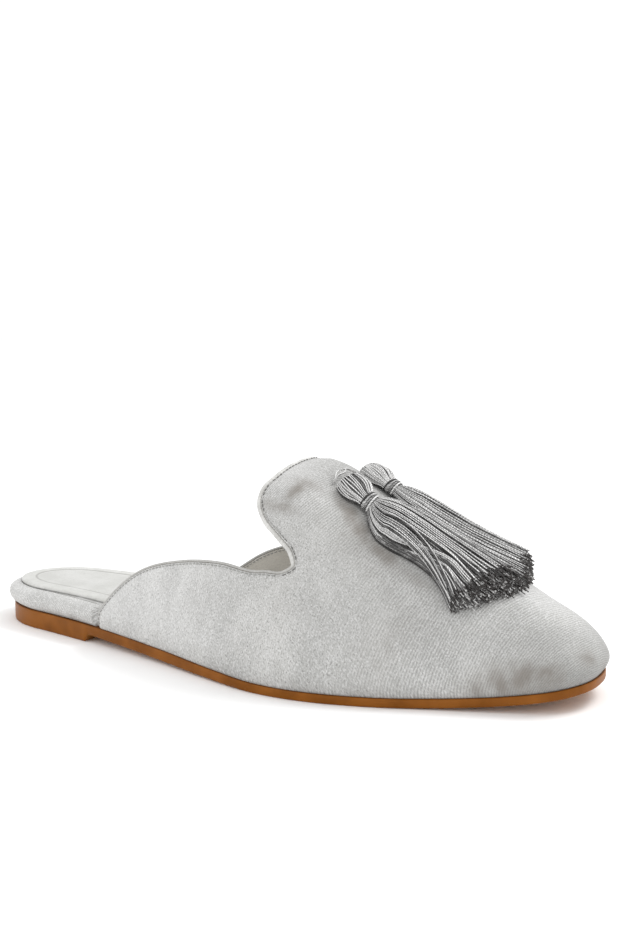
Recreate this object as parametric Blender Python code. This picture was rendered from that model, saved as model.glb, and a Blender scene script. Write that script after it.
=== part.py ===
"""Velvet mule with a slipper tongue and two thread tassels, right shoe.

The heel lies towards -X and the toe towards +X, the inner side of the foot is +Y and the floor is Z = 0.
All forms are worked out in a frame that has the back of the heel at X = 0; the last lines centre them.
A station is a share of LENGTH from the heel. A girth runs from -1 at the lateral feather edge,
over 0 on the crest, to 1 at the medial feather edge.
"""
import bpy
import bmesh
import numpy as np
from mathutils import Vector
from mathutils.geometry import delaunay_2d_cdt

MM = 0.001

# Driving sizes
GAP = 0.3 * MM              # between pieces that touch
DRAPE_GAP = 0.7 * MM        # between the vamp and the tassels, both faceted
LENGTH = 258 * MM           # outsole, back of heel to tip of toe
WIDTH = 85 * MM             # ball of the outsole, the unit of the outline's half widths
INSTEP = 76.2 * MM          # crest of the upper above the floor at the tip of the tongue
HEEL_RISE = 3.6 * MM        # heel block under the sole
HEEL_LENGTH = 57 * MM       # back of heel to the breast, at the floor
BREAST_LEAN = 2.0 * MM      # the breast runs this far forward on its way up
SOLE_THICK = 3.2 * MM       # forefoot of the outsole
TOE_SPRING = 6.4 * MM       # rise of the outsole's tip
SOLE_EDGE = 0.7 * MM        # chamfer on both edges of the outsole
HEEL_ROUND = 27 * MM        # length of the rounded back of the outline
HEEL_FULL = 2.15            # power of its superellipse
TOE_ROUND = 16 * MM         # length of the rounded tip of the outline
TOE_FULL = 2.6
LEDGE = 1.0 * MM            # outsole beyond the foot of the upper
WALL = 1.8 * MM             # velvet, interlining and lining together
SWELL = 2.3 * MM            # the upper's wall bulges this far over its foot
SWELL_HEIGHT = 6 * MM       # height of the widest bulge above the outsole
CREST_END = 22 * MM         # the crest line stops this far behind the tip
CREST_SOFT = 6 * MM         # rounding of the crest line's end
PIPING = 2.2 * MM           # diameter of the topline binding
BED_HEIGHT = 8.6 * MM       # padded footbed at the heel
BED_ROUND = 1.6 * MM        # rounding of the footbed's upper edge
BED_BULGE = 3.2 * MM        # padded rim around the heel beyond its foot
SOCK_THICK = 0.8 * MM
SOCK_INSET = 2.2 * MM       # sock lining inside the footbed's edge
TASSEL_WIDTH = 0.294 * WIDTH  # skirt at its cut end, so that two of them fit side by side
TASSEL_DEPTH = 8.5 * MM     # skirt above the vamp
TASSEL_LOCK = 0.35 * MM     # locks of thread stand this far up and down
TASSEL_LOCKS = 10
TASSEL_LIP = 0.05           # height of the side edges as a share of the depth
CUT_START = 0.5             # from here on the threads run out to different lengths
CUT_SLOPE = 0.09            # the top threads end this share of the line before the lowest ones
CUT_RAGGED = 0.016          # locks end this share of the line earlier or later
WRAP_WIDTH = 2.6 * MM
WRAP_THICK = 0.6 * MM
WRAP_TURNS = 3
TIE = 1.0 * MM              # diameter of the thread tie

MESH_STEP = 5.6 * MM        # side of the upper's triangles
FOOT_ROW = 2.6 * MM         # first row of points above the upper's foot
EDGE_STEP = 3.0 * MM        # points along the topline, shared by the upper and its binding
PLATE_ROWS = 46             # stations of sole, footbed and sock lining
BREAK_CLEAR = 0.004         # of these, none is this close to a break of the sole's underside


def table(columns, *rows):
    """A table with named columns; each row is a section or a point of an edge."""
    return dict(zip(columns.split(), np.array(rows, float).T))


# Half widths of the outsole as shares of WIDTH
OUTLINE = table(
    "station lateral medial",
    (0.00, 0.220, 0.265), (0.10, 0.250, 0.300), (0.20, 0.300, 0.315), (0.30, 0.360, 0.290),
    (0.40, 0.430, 0.273), (0.50, 0.510, 0.310), (0.58, 0.560, 0.373), (0.66, 0.550, 0.446),
    (0.74, 0.485, 0.480), (0.82, 0.390, 0.450), (0.89, 0.310, 0.387), (0.95, 0.238, 0.310),
    (1.00, 0.170, 0.245))

# Sole profile: shares of SOLE_THICK, HEEL_RISE and TOE_SPRING, and of BED_HEIGHT for the footbed
PROFILE = table(
    "station thick rise spring bed",
    (0.00, 1.25, 1.00, 0.00, 1.00), (0.10, 1.25, 0.97, 0.00, 1.00), (0.22, 1.25, 0.89, 0.00, 1.00),
    (0.32, 1.28, 0.61, 0.00, 0.97), (0.42, 1.25, 0.33, 0.00, 0.88), (0.52, 1.12, 0.11, 0.00, 0.74),
    (0.60, 1.03, 0.00, 0.00, 0.64), (0.70, 1.00, 0.00, 0.00, 0.58), (0.80, 1.00, 0.00, 0.06, 0.55),
    (0.90, 1.00, 0.00, 0.38, 0.52), (1.00, 1.00, 0.00, 1.00, 0.50))

# Sections of the last: crest as a share of INSTEP, roundness of the section (2 is an ellipse),
# swell as a share of SWELL, sideways place of the crest as a share of WIDTH
SECTIONS = table(
    "station crest round swell middle",
    (0.25, 1.105, 2.20, 0.65, 0.059), (0.42, 1.080, 2.25, 0.65, 0.059), (0.50, 1.053, 2.30, 0.87, 0.065),
    (0.56, 1.000, 2.35, 0.87, 0.070), (0.60, 0.974, 2.40, 0.87, 0.070), (0.66, 0.875, 2.40, 0.96, 0.070),
    (0.73, 0.741, 2.35, 1.00, 0.065), (0.80, 0.616, 2.30, 1.00, 0.059), (0.87, 0.504, 2.30, 1.00, 0.059),
    (0.93, 0.408, 2.35, 1.00, 0.059), (1.00, 0.362, 2.35, 1.00, 0.059))

# Topline: each quarter from its back lower corner to the notch, and half the tongue from notch to tip
QUARTER_LATERAL = table(
    "station girth",
    (0.255, 1.000), (0.258, 0.965), (0.284, 0.902), (0.346, 0.802), (0.428, 0.738), (0.512, 0.705),
    (0.585, 0.690), (0.616, 0.670))
QUARTER_MEDIAL = table(
    "station girth",
    (0.330, 1.000), (0.334, 0.965), (0.360, 0.908), (0.395, 0.855), (0.442, 0.790), (0.510, 0.735),
    (0.580, 0.700), (0.616, 0.673))
TONGUE = table(
    "station girth",
    (0.630, 0.628), (0.623, 0.580), (0.600, 0.538), (0.566, 0.475), (0.549, 0.410), (0.546, 0.345),
    (0.552, 0.250), (0.557, 0.130), (0.558, 0.000))

# Tassel lines in plan from head over neck to cut end: shares of LENGTH and of WIDTH
TASSEL_LINES = {
    "lateral": table(
        "along station side",
        (0.00, 0.638, -0.080), (0.17, 0.682, -0.123), (0.34, 0.717, -0.108), (0.65, 0.786, -0.116),
        (1.00, 0.858, -0.140), (1.15, 0.889, -0.149)),
    "medial": table(
        "along station side",
        (0.00, 0.632, 0.163), (0.17, 0.678, 0.120), (0.34, 0.716, 0.150), (0.65, 0.788, 0.175),
        (1.00, 0.866, 0.192), (1.15, 0.899, 0.199))}

# Place on its line where each tassel's lowest threads are cut, from its lateral to its medial side
CUT = table(
    "across lateral medial",
    (-1.0, 0.885, 1.10), (-0.5, 1.00, 1.09), (0.0, 1.075, 1.07), (1.0, 1.15, 0.98))

# Tassel sections: half widths to the outer and the inner side as shares of TASSEL_WIDTH, depth as a
# share of TASSEL_DEPTH, lift off the vamp as a share of the wrap's thickness, height of the locks
TASSEL = table(
    "along outer inner depth lift lock",
    (0.000, 0.13, 0.13, 0.34, 0.3, 0.0), (0.012, 0.19, 0.20, 0.58, 0.0, 0.5),
    (0.045, 0.23, 0.24, 0.74, 0.0, 1.0), (0.100, 0.22, 0.22, 0.72, 0.5, 1.0),
    (0.145, 0.15, 0.15, 0.44, 1.6, 0.2), (0.195, 0.15, 0.15, 0.44, 1.6, 0.2),
    (0.216, 0.30, 0.21, 0.53, 1.2, 0.8), (0.245, 0.40, 0.27, 0.63, 0.6, 1.0),
    (0.320, 0.47, 0.36, 0.76, 0.0, 1.0), (0.380, 0.47, 0.41, 0.79, 0.0, 1.0),
    (0.450, 0.45, 0.44, 0.81, 0.0, 1.0), (0.520, 0.41, 0.46, 0.83, 0.0, 1.0),
    (0.600, 0.37, 0.47, 0.85, 0.0, 1.0), (0.670, 0.36, 0.48, 0.88, 0.0, 1.0),
    (0.740, 0.38, 0.48, 0.92, 0.0, 1.0), (0.810, 0.43, 0.49, 0.96, 0.0, 1.0),
    (0.880, 0.49, 0.49, 1.00, 0.0, 1.0), (1.000, 0.53, 0.49, 1.05, 0.0, 1.0),
    (1.150, 0.54, 0.49, 1.08, 0.0, 1.0))

# Thread tie behind the lateral head: shares of LENGTH and WIDTH, height above the vamp in diameters
TIE_ROUTE = table(
    "station side height",
    (0.645, 0.047, -0.4), (0.636, 0.030, 0.8), (0.630, 0.000, 1.8), (0.627, -0.035, 2.2),
    (0.627, -0.070, 2.0), (0.628, -0.105, 1.2), (0.629, -0.135, -0.4))


def curve(stations, values):
    """Soft curve through table rows; a level run of the table stays level."""
    gaps = np.diff(stations)
    slopes = np.diff(values) / gaps
    bends = np.empty(len(values))
    bends[1:-1] = (slopes[:-1] * gaps[1:] + slopes[1:] * gaps[:-1]) / (gaps[1:] + gaps[:-1])
    bends[1:-1][(slopes[:-1] == 0) | (slopes[1:] == 0)] = 0
    bends[0], bends[-1] = slopes[0], slopes[-1]

    def at(place):
        place = np.asarray(place, float)
        row = np.clip(np.searchsorted(stations, place) - 1, 0, len(stations) - 2)
        gap = gaps[row]
        t = (place - stations[row]) / gap
        ends = (2 * t**3 - 3 * t**2 + 1) * values[row] + (3 * t**2 - 2 * t**3) * values[row + 1]
        return ends + ((t**3 - 2 * t**2 + t) * bends[row] + (t**3 - t**2) * bends[row + 1]) * gap
    return at


def column(rows, name, unit=1.0, key="station"):
    return curve(rows[key], rows[name] * unit)


lateral_half = column(OUTLINE, "lateral", WIDTH)
medial_half = column(OUTLINE, "medial", WIDTH)
sole_thick = column(PROFILE, "thick", SOLE_THICK)
heel_rise = column(PROFILE, "rise", HEEL_RISE)
toe_spring = column(PROFILE, "spring", TOE_SPRING)
bed_height = column(PROFILE, "bed", BED_HEIGHT)
crest_height = column(SECTIONS, "crest", INSTEP)
section_round = column(SECTIONS, "round")
section_swell = column(SECTIONS, "swell", SWELL)
crest_side = column(SECTIONS, "middle", WIDTH)


def end_cap(station):
    """Share of the full width left at a station: superellipses round off the heel and the toe."""
    x = np.asarray(station, float) * LENGTH
    heel = np.clip((HEEL_ROUND - x) / HEEL_ROUND, 0, 1)
    toe = np.clip((x - LENGTH + TOE_ROUND) / TOE_ROUND, 0, 1)
    return (1 - heel**HEEL_FULL) ** (1 / HEEL_FULL) * (1 - toe**TOE_FULL) ** (1 / TOE_FULL)


def sides(station):
    """Lateral and medial edge of the outsole at a station."""
    low, high = -lateral_half(station), medial_half(station)
    middle, half = (low + high) / 2, (high - low) / 2 * end_cap(station)
    return middle - half, middle + half


def sole_top(x):
    station = np.clip(x / LENGTH, 0, 1)
    return sole_thick(station) + heel_rise(station) + toe_spring(station)


def sole_under(x):
    """Underside: the heel stands on the floor up to its breast, then the waist hangs free."""
    station = np.clip(x / LENGTH, 0, 1)
    free = heel_rise(station) + toe_spring(station)
    breast = np.clip((x - HEEL_LENGTH) / BREAST_LEAN, 0, 1)
    return free * breast


def seat(x):
    """Height at which the upper and the footbed stand on the outsole."""
    return sole_top(x) + GAP


def rays(station, girth):
    """Foot of each section's line on the crest, its plan direction and its length to the outsole's edge."""
    low, high = sides(station)
    x = station * LENGTH
    end = LENGTH - CREST_END
    foot_x = end - CREST_SOFT * np.log1p(np.exp((end - x) / CREST_SOFT))
    foot_y = crest_side(foot_x / LENGTH)
    away_x, away_y = x - foot_x, np.where(girth < 0, low, high) - foot_y
    length = np.maximum(np.hypot(away_x, away_y), 1e-9)
    return foot_x, foot_y, away_x / length, away_y / length, length


def last(station, girth):
    """Outer face of the upper: superelliptic sections that fan out around the toe."""
    station, girth = np.broadcast_arrays(np.asarray(station, float), np.asarray(girth, float))
    foot_x, foot_y, way_x, way_y, length = rays(station, girth)
    power = 2 / section_round(station)
    angle = (1 - np.abs(girth)) * np.pi / 2
    rise = np.sin(angle) ** power
    height = (crest_height(foot_x / LENGTH) - seat(station * LENGTH)) * rise / SWELL_HEIGHT
    swell = section_swell(station) * height * np.exp(1 - height)
    reach = (length - LEDGE) * np.abs(np.cos(angle)) ** power + swell
    x = foot_x + way_x * reach
    y = foot_y + way_y * reach
    base = seat(x)
    z = base + (crest_height(np.clip(x / LENGTH, 0, 1)) - base) * rise
    return np.stack([x, y, z], -1)


def outward(station, girth):
    """Unit normal of the outer face, by small steps to both sides."""
    step = 1e-3
    station, girth = np.broadcast_arrays(np.asarray(station, float), np.asarray(girth, float))
    side = np.where(girth > 0, 1.0, -1.0)
    girth = side * np.clip(np.abs(girth), 2 * step, 1)
    ahead = last(np.minimum(station + step, 1), girth) - last(station - step, girth)
    across = last(station, np.minimum(girth + step, 1)) - last(station, np.maximum(girth - step, -1))
    normal = np.cross(ahead, across)
    return normal / np.linalg.norm(normal, axis=-1, keepdims=True)


def resample(points, step, phase=0.0):
    """Shares along a polyline, about one step apart."""
    run = np.concatenate([[0], np.cumsum(np.linalg.norm(np.diff(points, axis=0), axis=1))])
    count = max(2, round(run[-1] / step))
    places = (np.arange(count + 1) + phase) / count
    return np.interp(places[places <= 1] * run[-1], run, np.linspace(0, 1, len(points)))


def topline():
    """Station and girth along the collar, from the lateral back corner over the tongue to the medial one."""
    lateral, medial, tongue = QUARTER_LATERAL, QUARTER_MEDIAL, TONGUE
    station = np.concatenate([lateral["station"], tongue["station"],
                              tongue["station"][-2::-1], medial["station"][::-1]])
    girth = np.concatenate([-lateral["girth"], -tongue["girth"],
                            tongue["girth"][-2::-1], medial["girth"][::-1]])
    marks = last(station, girth)
    run = np.concatenate([[0], np.cumsum(np.linalg.norm(np.diff(marks, axis=0), axis=1))])
    places = np.linspace(0, run[-1], 900)
    return curve(run, station)(places), np.clip(curve(run, girth)(places), -1, 1)


def along_topline(step):
    station, girth = topline()
    share = resample(last(station, girth), step)
    places = np.linspace(0, 1, len(station))
    return np.interp(share, places, station), np.interp(share, places, girth)


def around_toe(girth, step, girths, phase=0.0, whole=True):
    """Station and girth along one level of the upper: forward on the lateral side, back on the medial one."""
    way = np.linspace(-1, 1 if whole else 0, 1200)
    start = np.where(way < 0, QUARTER_LATERAL["station"][0], QUARTER_MEDIAL["station"][0])
    station = 1 - (1 - start) * way**2
    level = np.where(way < 0, -girth, girth)
    share = resample(lay_out(station, level, girths), step, phase)
    places = np.linspace(0, 1, len(way))
    return np.interp(share, places, station), np.where(np.interp(share, places, way) < 0, -girth, girth)


def half_girths():
    """Length of each half section from feather edge to crest, for laying the upper out flat."""
    stations = np.linspace(QUARTER_LATERAL["station"][0], 1, 120)
    levels = np.linspace(0, 1, 25)
    lengths = []
    for side in (-1, 1):
        walk = last(stations[:, None], side * levels[None, :])
        lengths.append(np.linalg.norm(np.diff(walk, axis=1), axis=2).sum(axis=1))
    return stations, lengths


def half_girth(station, girth, girths):
    stations, (lateral, medial) = girths
    return np.where(girth < 0, np.interp(station, stations, lateral), np.interp(station, stations, medial))


def lay_out(station, girth, girths):
    """Flat pattern of the upper, nearly true to size: crest in the middle, sides folded out."""
    foot_x, foot_y, way_x, way_y, _ = rays(station, girth)
    flat = np.abs(girth) * half_girth(station, girth, girths)
    return np.stack([foot_x + way_x * flat, foot_y + way_y * flat], -1)


def well_inside(points, loop, others, margin):
    """True for points inside a closed loop and at least the margin away from its points and others."""
    after = np.roll(loop, -1, axis=0)
    others = np.concatenate([loop, others])
    keep = np.zeros(len(points), bool)
    for index, (x, y) in enumerate(points):
        crossing = (loop[:, 1] > y) != (after[:, 1] > y)
        slope = (after[crossing, 0] - loop[crossing, 0]) / (after[crossing, 1] - loop[crossing, 1])
        hits = loop[crossing, 0] + slope * (y - loop[crossing, 1]) > x
        near = np.hypot(*(others - (x, y)).T).min()
        keep[index] = hits.sum() % 2 == 1 and near > margin
    return keep


def upper_pattern(step):
    """Triangles of the trimmed upper: station and girth of each point, and the boundary's point count."""
    girths = half_girths()
    station, girth = along_topline(EDGE_STEP)
    edge_s, edge_g = around_toe(1.0, step, girths)
    start, stop = QUARTER_LATERAL["station"][0], QUARTER_MEDIAL["station"][0]
    inner = (edge_s > start + 1e-6) & (edge_s > np.where(edge_g > 0, stop, start) + 1e-6)
    station = np.concatenate([station, edge_s[inner][::-1]])
    girth = np.concatenate([girth, edge_g[inner][::-1]])
    count = len(station)
    loop = lay_out(station, girth, girths)
    foot_s, foot_g = edge_s[inner], edge_g[inner]
    foot_g = foot_g * (1 - FOOT_ROW / half_girth(foot_s, foot_g, girths))
    foot = lay_out(foot_s, foot_g, girths)
    keep = well_inside(foot, loop, loop, 0.7 * FOOT_ROW)
    foot_s, foot_g, foot = foot_s[keep], foot_g[keep], foot[keep]
    rows = int(round(girths[1][0].mean() / step))
    inside_s, inside_g = [], []
    for row in range(rows):
        level_s, level_g = around_toe(row / rows, step, girths, 0.5 * (row % 2), whole=row > 0)
        inside_s.append(level_s)
        inside_g.append(level_g)
    inside_s, inside_g = np.concatenate(inside_s), np.concatenate(inside_g)
    keep = well_inside(lay_out(inside_s, inside_g, girths), loop, foot, 0.55 * step)
    station = np.concatenate([station, foot_s, inside_s[keep]])
    girth = np.concatenate([girth, foot_g, inside_g[keep]])
    flat = [Vector(point) for point in lay_out(station, girth, girths) / MM]
    result = delaunay_2d_cdt(flat, [], [list(range(count))], 1, 1e-5)
    origin = np.array([sources[0] for sources in result[3]])
    triangles = [[int(origin[corner]) for corner in face] for face in result[2]]
    return station, girth, count, triangles


def make(name, vertices, faces, material):
    """One closed solid with its normals pointing out, as an object with its own material."""
    mesh = bpy.data.meshes.new(name)
    mesh.from_pydata([tuple(map(float, vertex)) for vertex in vertices], [], faces)
    form = bmesh.new()
    form.from_mesh(mesh)
    bmesh.ops.remove_doubles(form, verts=form.verts, dist=1e-6)
    bmesh.ops.dissolve_degenerate(form, edges=form.edges, dist=1e-6)
    bmesh.ops.recalc_face_normals(form, faces=form.faces)
    form.to_mesh(mesh)
    form.free()
    mesh.shade_smooth()
    mesh.set_sharp_from_angle(angle=0.7)
    mesh.materials.append(material)
    piece = bpy.data.objects.new(name, mesh)
    bpy.context.scene.collection.objects.link(piece)
    return piece


def finish(name, colour, roughness, metallic=0.0):
    material = bpy.data.materials.new(name)
    material.use_nodes = True
    shader = material.node_tree.nodes["Principled BSDF"]
    shader.inputs["Base Color"].default_value = (*colour, 1)
    shader.inputs["Roughness"].default_value = roughness
    shader.inputs["Metallic"].default_value = metallic
    return material


def loft(rings, closed=False):
    """Faces between equal rings of points; the two ends get a cap unless the loft is closed."""
    count = len(rings[0])
    vertices = [point for ring in rings for point in ring]
    faces = []
    for row in range(len(rings) if closed else len(rings) - 1):
        here, there = row * count, (row + 1) % len(rings) * count
        for place in range(count):
            beside = (place + 1) % count
            faces.append((here + place, here + beside, there + beside, there + place))
    if not closed:
        for first in (0, (len(rings) - 1) * count):
            vertices.append(np.mean(vertices[first:first + count], axis=0))
            hub = len(vertices) - 1
            faces += [(first + place, first + (place + 1) % count, hub) for place in range(count)]
    return vertices, faces


def outline_loop(rows, *breaks):
    """Stations around the outsole's edge and their sides: lateral forward, medial back, both ends once."""
    share = (1 - np.cos(np.linspace(0, np.pi, rows))) / 2
    for stop in breaks:
        share = np.sort(np.append(share[np.abs(share - stop) > BREAK_CLEAR], stop))
    station = np.concatenate([share, share[-2:0:-1]])
    side = np.concatenate([-np.ones(len(share)), np.ones(len(share) - 2)])
    return station, side, len(share)


def edge_points(station, side, inset):
    """Plan points of the outsole's edge, moved inwards by an inset for each point."""
    low, high = sides(station)
    points = np.stack([station * LENGTH, np.where(side < 0, low, high)], -1)
    ahead = np.roll(points, -1, axis=0) - np.roll(points, 1, axis=0)
    inward = np.stack([-ahead[:, 1], ahead[:, 0]], -1) / np.linalg.norm(ahead, axis=1)[:, None]
    return points + inward * np.asarray(inset)[..., None]


def plate(name, loop, rings, material):
    """Solid between rings around an outline, each an inset and a height; its faces run from side to side."""
    station, side, rows = loop
    count = len(station)
    vertices, faces = [], []
    for inset, height in rings:
        plan = edge_points(station, side, np.broadcast_to(inset, count))
        vertices += list(np.column_stack([plan, height(plan[:, 0])]))
    for ring in range(len(rings) - 1):
        here = ring * count
        for place in range(count):
            beside = (place + 1) % count
            faces.append((here + place, here + beside, here + count + beside, here + count + place))
    for here in (0, (len(rings) - 1) * count):
        for row in range(rows - 1):
            medial, medial_next = (count - row) % count, (count - row - 1) % count
            corners = (row, row + 1, medial_next, medial)
            faces.append([here + corner for corner in dict.fromkeys(corners)])
    return make(name, vertices, faces, material)


def outsole(material):
    """Moulded tan unit: thin forefoot, free waist and a low heel with a leaning breast."""
    breast = HEEL_LENGTH / LENGTH
    loop = outline_loop(PLATE_ROWS, breast, breast + BREAST_LEAN / LENGTH)
    rings = [(SOLE_EDGE, sole_under),
             (0.0, lambda x: sole_under(x) + SOLE_EDGE),
             (0.0, lambda x: sole_top(x) - SOLE_EDGE * 0.6),
             (SOLE_EDGE * 0.6, sole_top)]
    return plate("outsole", loop, rings, material)


def bed_step(station, side):
    """From 0 where the footbed's rim stands free to 1 where it has passed inside the upper's wall."""
    start = np.where(side < 0, QUARTER_LATERAL["station"][0], QUARTER_MEDIAL["station"][0]) * LENGTH
    clear = start - PIPING - 2 * GAP
    step = np.clip((station * LENGTH - clear + 3 * PIPING) / (2 * PIPING), 0, 1)
    return step * step * (3 - 2 * step)


def bed_inset(station, side):
    """The footbed's rim stands full width behind the upper and steps in to pass inside its wall."""
    tucked = LEDGE + WALL / 2 + PIPING / 2 + GAP
    return LEDGE + (tucked - LEDGE) * bed_step(station, side)


def bed_top(x):
    return seat(x) + bed_height(np.clip(x / LENGTH, 0, 1))


def footbed(material):
    """Padded insole with a rim wrapped over its edge, fullest around the heel."""
    loop = outline_loop(PLATE_ROWS)
    station, side = loop[:2]
    inset = bed_inset(station, side)
    along_heel = np.clip(station * LENGTH / HEEL_LENGTH, 0, 1)
    bulge = BED_BULGE * (1 - bed_step(station, side)) * (1 - along_heel / 2)
    rings = []
    for inward, full, height in ((0.20, 0.0, 0.00), (0.0, 0.55, 0.14), (0.0, 0.95, 0.36), (0.0, 1.0, 0.55),
                                 (0.0, 0.75, 0.76), (0.35, 0.25, 0.91), (1.2, 0.0, 0.98), (2.2, 0.0, 1.00)):
        rings.append((inset + inward * BED_ROUND - full * bulge,
                      lambda x, share=height: seat(x) + share * (bed_top(x) - seat(x))))
    return plate("footbed", loop, rings, material)


def sock_lining(material):
    """Satin sock glued on the footbed."""
    loop = outline_loop(PLATE_ROWS)
    inset = bed_inset(loop[0], loop[1]) + SOCK_INSET
    rings = [(inset, lambda x: bed_top(x) + GAP),
             (inset, lambda x: bed_top(x) + GAP + 0.6 * SOCK_THICK),
             (inset + 0.4 * SOCK_THICK, lambda x: bed_top(x) + GAP + SOCK_THICK)]
    return plate("sock_lining", loop, rings, material)


def upper(material):
    """One hollow wall over the last, open at the heel, along the collar and underneath."""
    station, girth, count, triangles = upper_pattern(MESH_STEP)
    outer = last(station, girth)
    inner = outer - WALL * outward(station, girth)
    feather = np.abs(girth) > 1 - 1e-6
    inner[feather, 2] = seat(inner[feather, 0])
    total = len(station)
    faces = [tuple(face) for face in triangles]
    faces += [tuple(corner + total for corner in reversed(face)) for face in triangles]
    for place in range(count):
        beside = (place + 1) % count
        faces.append((place, place + total, beside + total, beside))
    return make("upper", np.concatenate([outer, inner]), faces, material)


def topline_binding(material):
    """Satin piping along the whole collar, from one back corner over the tongue to the other."""
    station, girth = along_topline(EDGE_STEP)
    edge = last(station, girth)
    normal = outward(station, girth)
    tangent = np.gradient(edge, axis=0)
    away = np.cross(normal, tangent)
    away /= np.linalg.norm(away, axis=1)[:, None]
    centre = edge - normal * WALL / 2 + away * (PIPING / 2 + GAP)
    rings = []
    for place in range(len(centre)):
        turn = np.linspace(0, 2 * np.pi, 6, endpoint=False)[:, None]
        ring = centre[place] + PIPING / 2 * (np.cos(turn) * away[place] + np.sin(turn) * normal[place])
        ring[:, 2] = np.maximum(ring[:, 2], seat(ring[:, 0]))
        rings.append(ring)
    return make("topline_binding", *loft(rings), material)


def over_vamp(x, y, height):
    """Point at a place in plan, raised off the upper's outer face along its normal."""
    station = x / LENGTH
    levels = np.linspace(-0.9, 0.9, 181)
    for _ in range(4):
        girth = np.interp(y, last(station, levels)[:, 1], levels)
        station += (x - last(station, girth)[0]) / LENGTH
    return last(station, girth) + height * outward(station, girth)


def tassel_ring(which, place, grow=0.0, ragged=0.0):
    """Ring of points around a tassel: flat below, domed and fluted with locks of thread above."""
    line = TASSEL_LINES[which]
    angle = np.linspace(0, np.pi, 2 * TASSEL_LOCKS + 1)
    across = np.concatenate([-np.cos(angle), (0.6, 0.2, -0.2, -0.6)])
    level = np.concatenate([np.sin(angle), np.zeros(4)])
    late = np.clip((place - CUT_START) / (1 - CUT_START), 0, 1) ** 2
    cut = curve(CUT["across"], CUT[which])(across) - CUT_SLOPE * level + CUT_RAGGED * ragged
    along = place + (cut - 1) * late
    x_at = curve(line["along"], line["station"] * LENGTH)
    y_at = curve(line["along"], line["side"] * WIDTH)
    step = 1e-3
    way = np.stack([x_at(along + step) - x_at(along - step), y_at(along + step) - y_at(along - step)])
    way /= np.hypot(*way)
    outer, inner, depth, lift, lock = (column(TASSEL, name, key="along")(along)
                                       for name in ("outer", "inner", "depth", "lift", "lock"))
    wide = across * np.where(across * line["side"][-1] > 0, outer, inner) * TASSEL_WIDTH
    ridge = lock * TASSEL_LOCK * np.where(np.arange(len(across)) % 2, 1, -1) * level
    height = np.where(np.arange(len(across)) < len(angle), TASSEL_LIP + level**0.8, 0) * depth * TASSEL_DEPTH
    height += ridge + DRAPE_GAP + np.maximum(lift, 0) * WRAP_THICK
    if grow:
        ahead = np.roll((wide, height), -1, axis=1) - np.roll((wide, height), 1, axis=1)
        ahead /= np.hypot(*ahead)
        wide, height = wide - grow * ahead[1], height + grow * ahead[0]
    plan = np.stack([x_at(along) - way[1] * wide, y_at(along) + way[0] * wide, height], -1)
    return [over_vamp(x, y, z) for x, y, z in plan]


def tassel(which, material):
    """Head of folded threads, bound neck and a skirt whose locks end at slightly different lengths."""
    rings = [tassel_ring(which, place) for place in TASSEL["along"] if place < 1]
    locks = np.arange(len(rings[0]))
    rings.append(tassel_ring(which, 1.0, ragged=np.sin(2.4 * locks) + 0.6 * np.sin(5.1 * locks + 1)))
    return make(f"tassel_{which}", *loft(rings), material)


def tassel_wrap(which, material):
    """Turns of thread around the neck, fused to one ribbed band."""
    line = TASSEL_LINES[which]
    head, neck = (np.array([line["station"][row] * LENGTH, line["side"][row] * WIDTH]) for row in (0, 1))
    half = WRAP_WIDTH / 2 / np.hypot(*(neck - head)) * line["along"][1]
    places = line["along"][1] + np.linspace(-half, half, 2 * WRAP_TURNS + 1)
    ridges = np.where(np.arange(len(places)) % 2, 1.0, 0.7)
    ridges[[0, -1]] = 0.55
    outer = [tassel_ring(which, place, GAP + WRAP_THICK * ridge) for place, ridge in zip(places, ridges)]
    inner = [tassel_ring(which, place, GAP) for place in places[::WRAP_TURNS][::-1]]
    return make(f"tassel_wrap_{which}", *loft(outer + inner, closed=True), material)


def tassel_tie(material):
    """Thread that ties both tassels to the vamp, looped behind the lateral head."""
    key = np.arange(len(TIE_ROUTE["station"]), dtype=float)
    share = np.linspace(0, key[-1], 25)
    x_at, y_at = curve(key, TIE_ROUTE["station"] * LENGTH), curve(key, TIE_ROUTE["side"] * WIDTH)
    height_at = curve(key, TIE_ROUTE["height"] * TIE + TIE / 2 + DRAPE_GAP)
    route = np.array([over_vamp(*place) for place in zip(x_at(share), y_at(share), height_at(share))])
    tangent = np.gradient(route, axis=0)
    tangent /= np.linalg.norm(tangent, axis=1)[:, None]
    side = np.cross(tangent, (0, 0, 1))
    side /= np.linalg.norm(side, axis=1)[:, None]
    up = np.cross(side, tangent)
    turn = np.linspace(0, 2 * np.pi, 6, endpoint=False)[:, None]
    rings = [route[place] + TIE / 2 * (np.cos(turn) * side[place] + np.sin(turn) * up[place])
             for place in range(len(route))]
    return make("tassel_tie", *loft(rings), material)


def centre(pieces):
    """Put the middle of the whole shoe over the origin; the floor stays at Z = 0."""
    corners = np.array([vertex.co for piece in pieces for vertex in piece.data.vertices])
    middle = (corners.min(axis=0) + corners.max(axis=0)) / 2
    for piece in pieces:
        piece.location = (-middle[0], -middle[1], 0)


for old in list(bpy.data.objects):
    bpy.data.objects.remove(old, do_unlink=True)

velvet = finish("velvet", (0.60, 0.60, 0.58), 0.85)
satin = finish("satin", (0.62, 0.61, 0.58), 0.45)
sock = finish("sock", (0.60, 0.59, 0.56), 0.40)
moulded = finish("tan_unit", (0.37, 0.13, 0.03), 0.40)
thread = finish("thread", (0.22, 0.21, 0.21), 0.50)
pale_thread = finish("pale_thread", (0.45, 0.44, 0.42), 0.50)

centre([
    outsole(moulded),
    footbed(velvet),
    sock_lining(sock),
    upper(velvet),
    topline_binding(satin),
    tassel("lateral", thread),
    tassel("medial", thread),
    tassel_wrap("lateral", thread),
    tassel_wrap("medial", thread),
    tassel_tie(pale_thread),
])
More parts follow.
